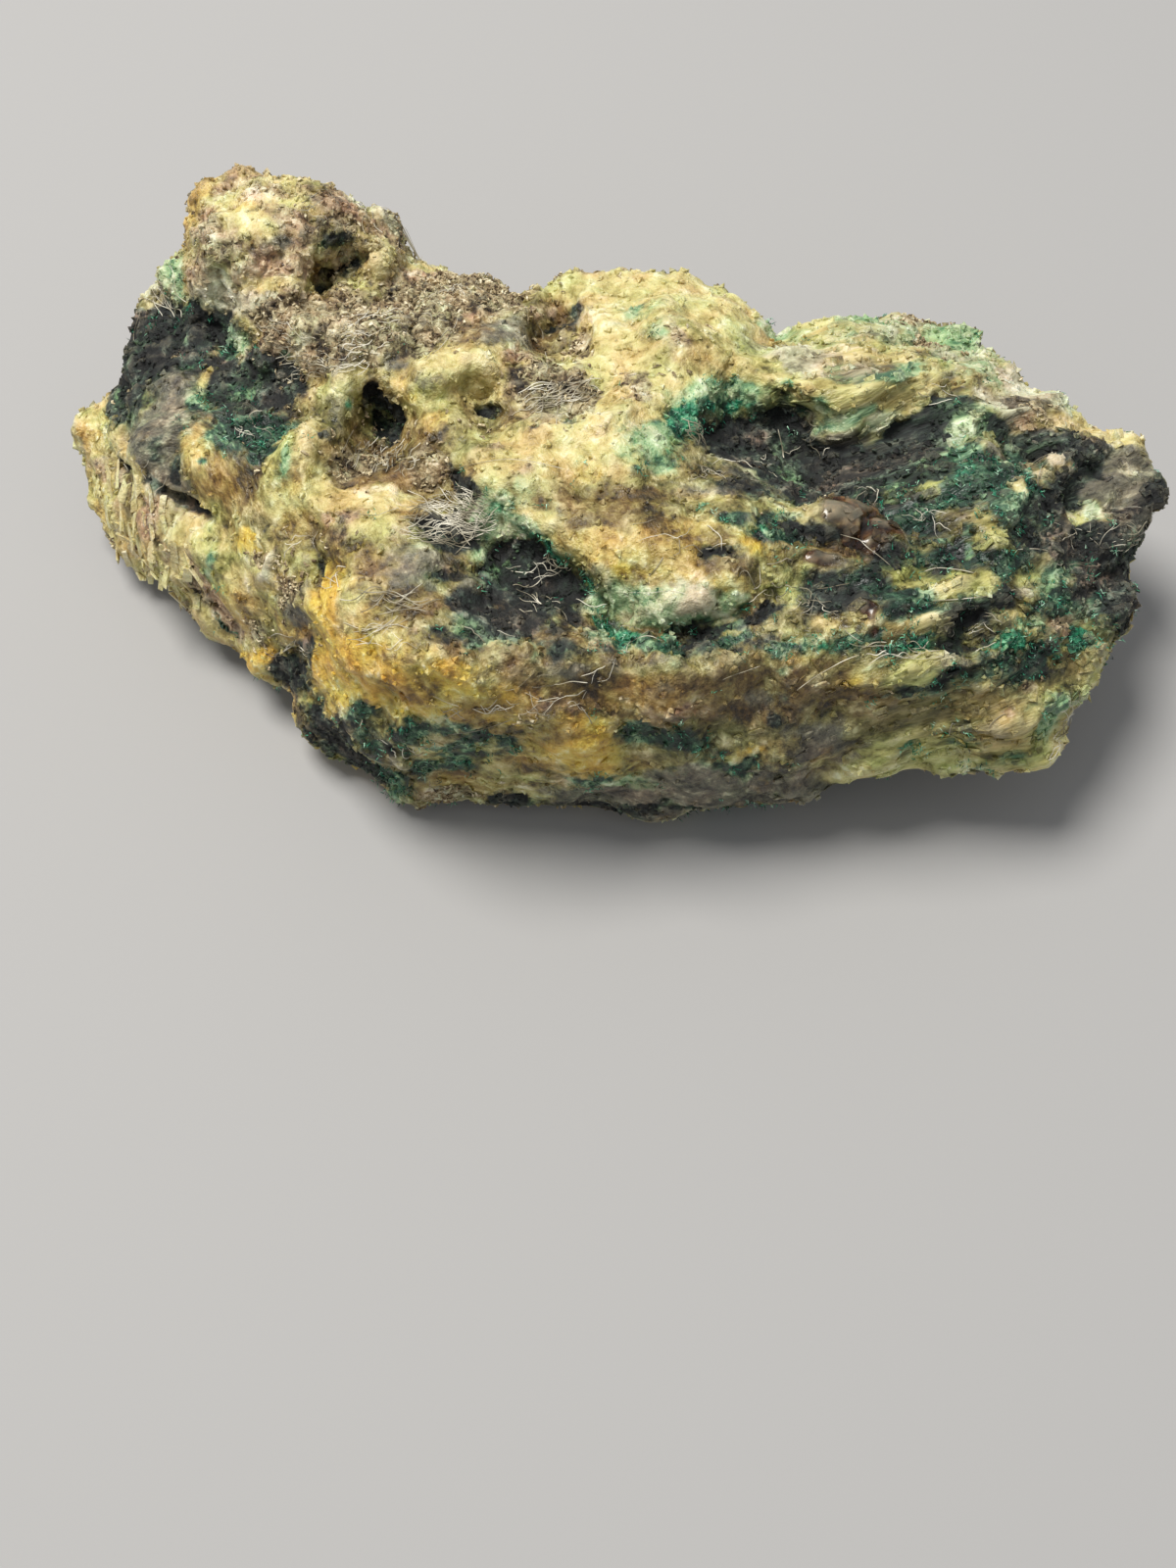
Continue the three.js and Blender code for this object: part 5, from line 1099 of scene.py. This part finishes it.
# Tangles: across, down, how wide in mm, how many strands, and how much each curls.
TANGLES = [
    (705, 440, 0.4, 10, 0.6), (470, 300, 1.2, 10, 0.4), (430, 335, 1.2, 12, 0.4), (340, 590, 1.2, 6, 0.4),
    (500, 720, 2.6, 9, 0.3), (600, 700, 2.4, 6, 0.3), (560, 575, 1.0, 12, 0.5), (690, 560, 2.0, 6, 0.3),
    (790, 600, 1.6, 8, 0.5), (830, 620, 0.7, 12, 0.7), (880, 500, 1.4, 4, 0.4), (950, 525, 1.0, 6, 0.6),
    (1000, 640, 2.0, 8, 0.3), (1085, 560, 2.0, 8, 0.3), (1150, 545, 1.0, 6, 0.3), (1060, 480, 0.8, 6, 0.2),
    (1110, 730, 1.0, 8, 0.6), (820, 450, 1.6, 6, 0.4), (300, 560, 1.6, 4, 0.4), (260, 440, 1.0, 8, 0.5),
    (165, 300, 0.6, 5, 0.3), (400, 760, 1.4, 6, 0.5), (640, 650, 2.2, 6, 0.3), (950, 400, 1.8, 4, 0.3),
]
LINT_POINTS = 16
LINT_THICK_MM = (0.022, 0.05)
LOFT_MM = (0.03, 0.22)
CURL_LONG_MM = (0.5, 1.7)


def smoothed(paths, rounds):
    """Paths with each inner point moved half way to the middle of its neighbours, time and again."""
    for _ in range(rounds):
        paths[:, 1:-1] = 0.5 * paths[:, 1:-1] + 0.25 * (paths[:, 2:] + paths[:, :-2])
    return paths


dice = np.random.default_rng(51)
lying = []
for x1, y1, x2, y2 in FIBRES:
    sag = dice.uniform(-0.12, 0.12)
    lying.append([
        on_stone(
            x1 + (x2 - x1) * s - sag * (y2 - y1) * math.sin(math.pi * s),
            y1 + (y2 - y1) * s + sag * (x2 - x1) * math.sin(math.pi * s),
        )
        for s in np.linspace(0, 1, LINT_POINTS)
    ])
s = np.linspace(-0.5, 0.5, LINT_POINTS)
for across, down, half_wide, half_high, count, tilt, longest in MATS:
    for _ in range(count):
        x, y = across + half_wide * dice.uniform(-1, 1), down + half_high * dice.uniform(-1, 1)
        heading = math.radians(tilt) + dice.normal(0, 0.3)
        waves, phase = dice.uniform(0.4, 1.3), dice.uniform(0, math.tau)
        along = dice.uniform(0.4, 1.0) * longest * s
        aside = 0.12 * longest * dice.uniform(0.3, 1.0) * np.sin(math.tau * waves * s + phase)
        to_right = x + along * math.cos(heading) + aside * math.sin(heading)
        downwards = y - along * math.sin(heading) + aside * math.cos(heading)
        lying.append([on_stone(*pixel) for pixel in zip(to_right, downwards)])
lying = np.array(lying)
settled = np.empty_like(lying)
loft = dice.uniform(*LOFT_MM, len(lying))
for n, k in np.ndindex(*lying.shape[:2]):
    near, facing_here, _, _ = skin.find_nearest(Vector(lying[n, k]))
    settled[n, k] = np.array(near) + loft[n] * np.array(facing_here)
settled = smoothed(settled, 6)
starts, curls = [], []
for across, down, spread, count, curl in TANGLES:
    off = dice.normal(0, spread / 2, (count, 2))
    starts += list(on_stone(across, down) + off[:, :1] * TO_RIGHT + 0.55 * off[:, 1:] * PICTURE_UP)
    curls += [curl] * count
long_mm = dice.uniform(*CURL_LONG_MM, len(starts))[:, None]
combed = dice.choice([-1.0, 1.0], (len(starts), 1)) * TO_RIGHT
combed = combed + dice.normal(0, 0.35, (len(starts), 3))
curled, facings = crept(
    np.array(starts) - 0.4 * long_mm * combed, combed, long_mm[:, 0] / LINT_POINTS, LINT_POINTS,
    0.6 * np.array(curls), dice,
)
hump = np.sin(np.linspace(0, math.pi, LINT_POINTS))[None, :, None]
hump = hump * dice.uniform(0.0, 0.3, (len(starts), 1, 1))
curled = smoothed(curled + facings * (0.04 + hump), 2)
every_fibre = np.concatenate([settled, curled])
lint = joined("lint", *tubes(every_fibre, dice.uniform(*LINT_THICK_MM, len(every_fibre))))
# Cotton lint has no gloss: it gives the eye pale threads, grey where they are soiled.
COTTON_SHADES = ["#6d6653", "#9a927d", "#c0baa7", "#dfdac9"]
lint.data.materials.append(weathered("pale_cotton_lint", 1.5, 2.0, 0.5, COTTON_SHADES, 0.9))


# The floor and the light
# A plain pale floor, one wide soft lamp high behind the stone and a little to the left, and an even weak fill
# from all round.
FLOOR_HALF = 2.0
FLOOR_CORNERS = [(x * FLOOR_HALF, y * FLOOR_HALF, 0) for x, y in ((-1, -1), (1, -1), (1, 1), (-1, 1))]
floor_mesh = bpy.data.meshes.new("floor")
floor_mesh.from_pydata(FLOOR_CORNERS, [], [(0, 1, 2, 3)])
floor = bpy.data.objects.new("floor", floor_mesh)
bpy.context.scene.collection.objects.link(floor)
# Matt paint is even and has no gloss, so it gives the eye only the stone's soft shadow.
paint = bpy.data.materials.new("matt_pale_paint")
paint.use_nodes = True
paint_shader = paint.node_tree.nodes["Principled BSDF"]
paint_shader.inputs["Base Color"].default_value = linear("#a3a2a1")
paint_shader.inputs["Roughness"].default_value = 0.8
floor_mesh.materials.append(paint)

LAMP_WAY = np.array((-0.3, 0.14, 0.94))
LAMP_AWAY = 0.42
LAMP_WIDE = 0.2
LAMP_WATTS = 2.2
FILL_STRENGTH = 0.52
lamp_data = bpy.data.lights.new("lamp", "AREA")
lamp_data.shape = "DISK"
lamp_data.size = LAMP_WIDE
lamp_data.energy = LAMP_WATTS
lamp_data.color = (1.0, 0.975, 0.93)
lamp = bpy.data.objects.new("lamp", lamp_data)
lamp.location = Vector(LAMP_WAY / np.linalg.norm(LAMP_WAY) * LAMP_AWAY)
lamp.rotation_euler = Vector(LAMP_WAY).to_track_quat("Z", "Y").to_euler()
bpy.context.scene.collection.objects.link(lamp)

world = bpy.data.worlds.new("studio")
world.use_nodes = True
world.node_tree.nodes["Background"].inputs["Color"].default_value = linear("#e3e6ea")
world.node_tree.nodes["Background"].inputs["Strength"].default_value = FILL_STRENGTH
bpy.context.scene.world = world
bpy.context.scene.view_settings.view_transform = "Standard"
bpy.context.scene.view_settings.look = "None"
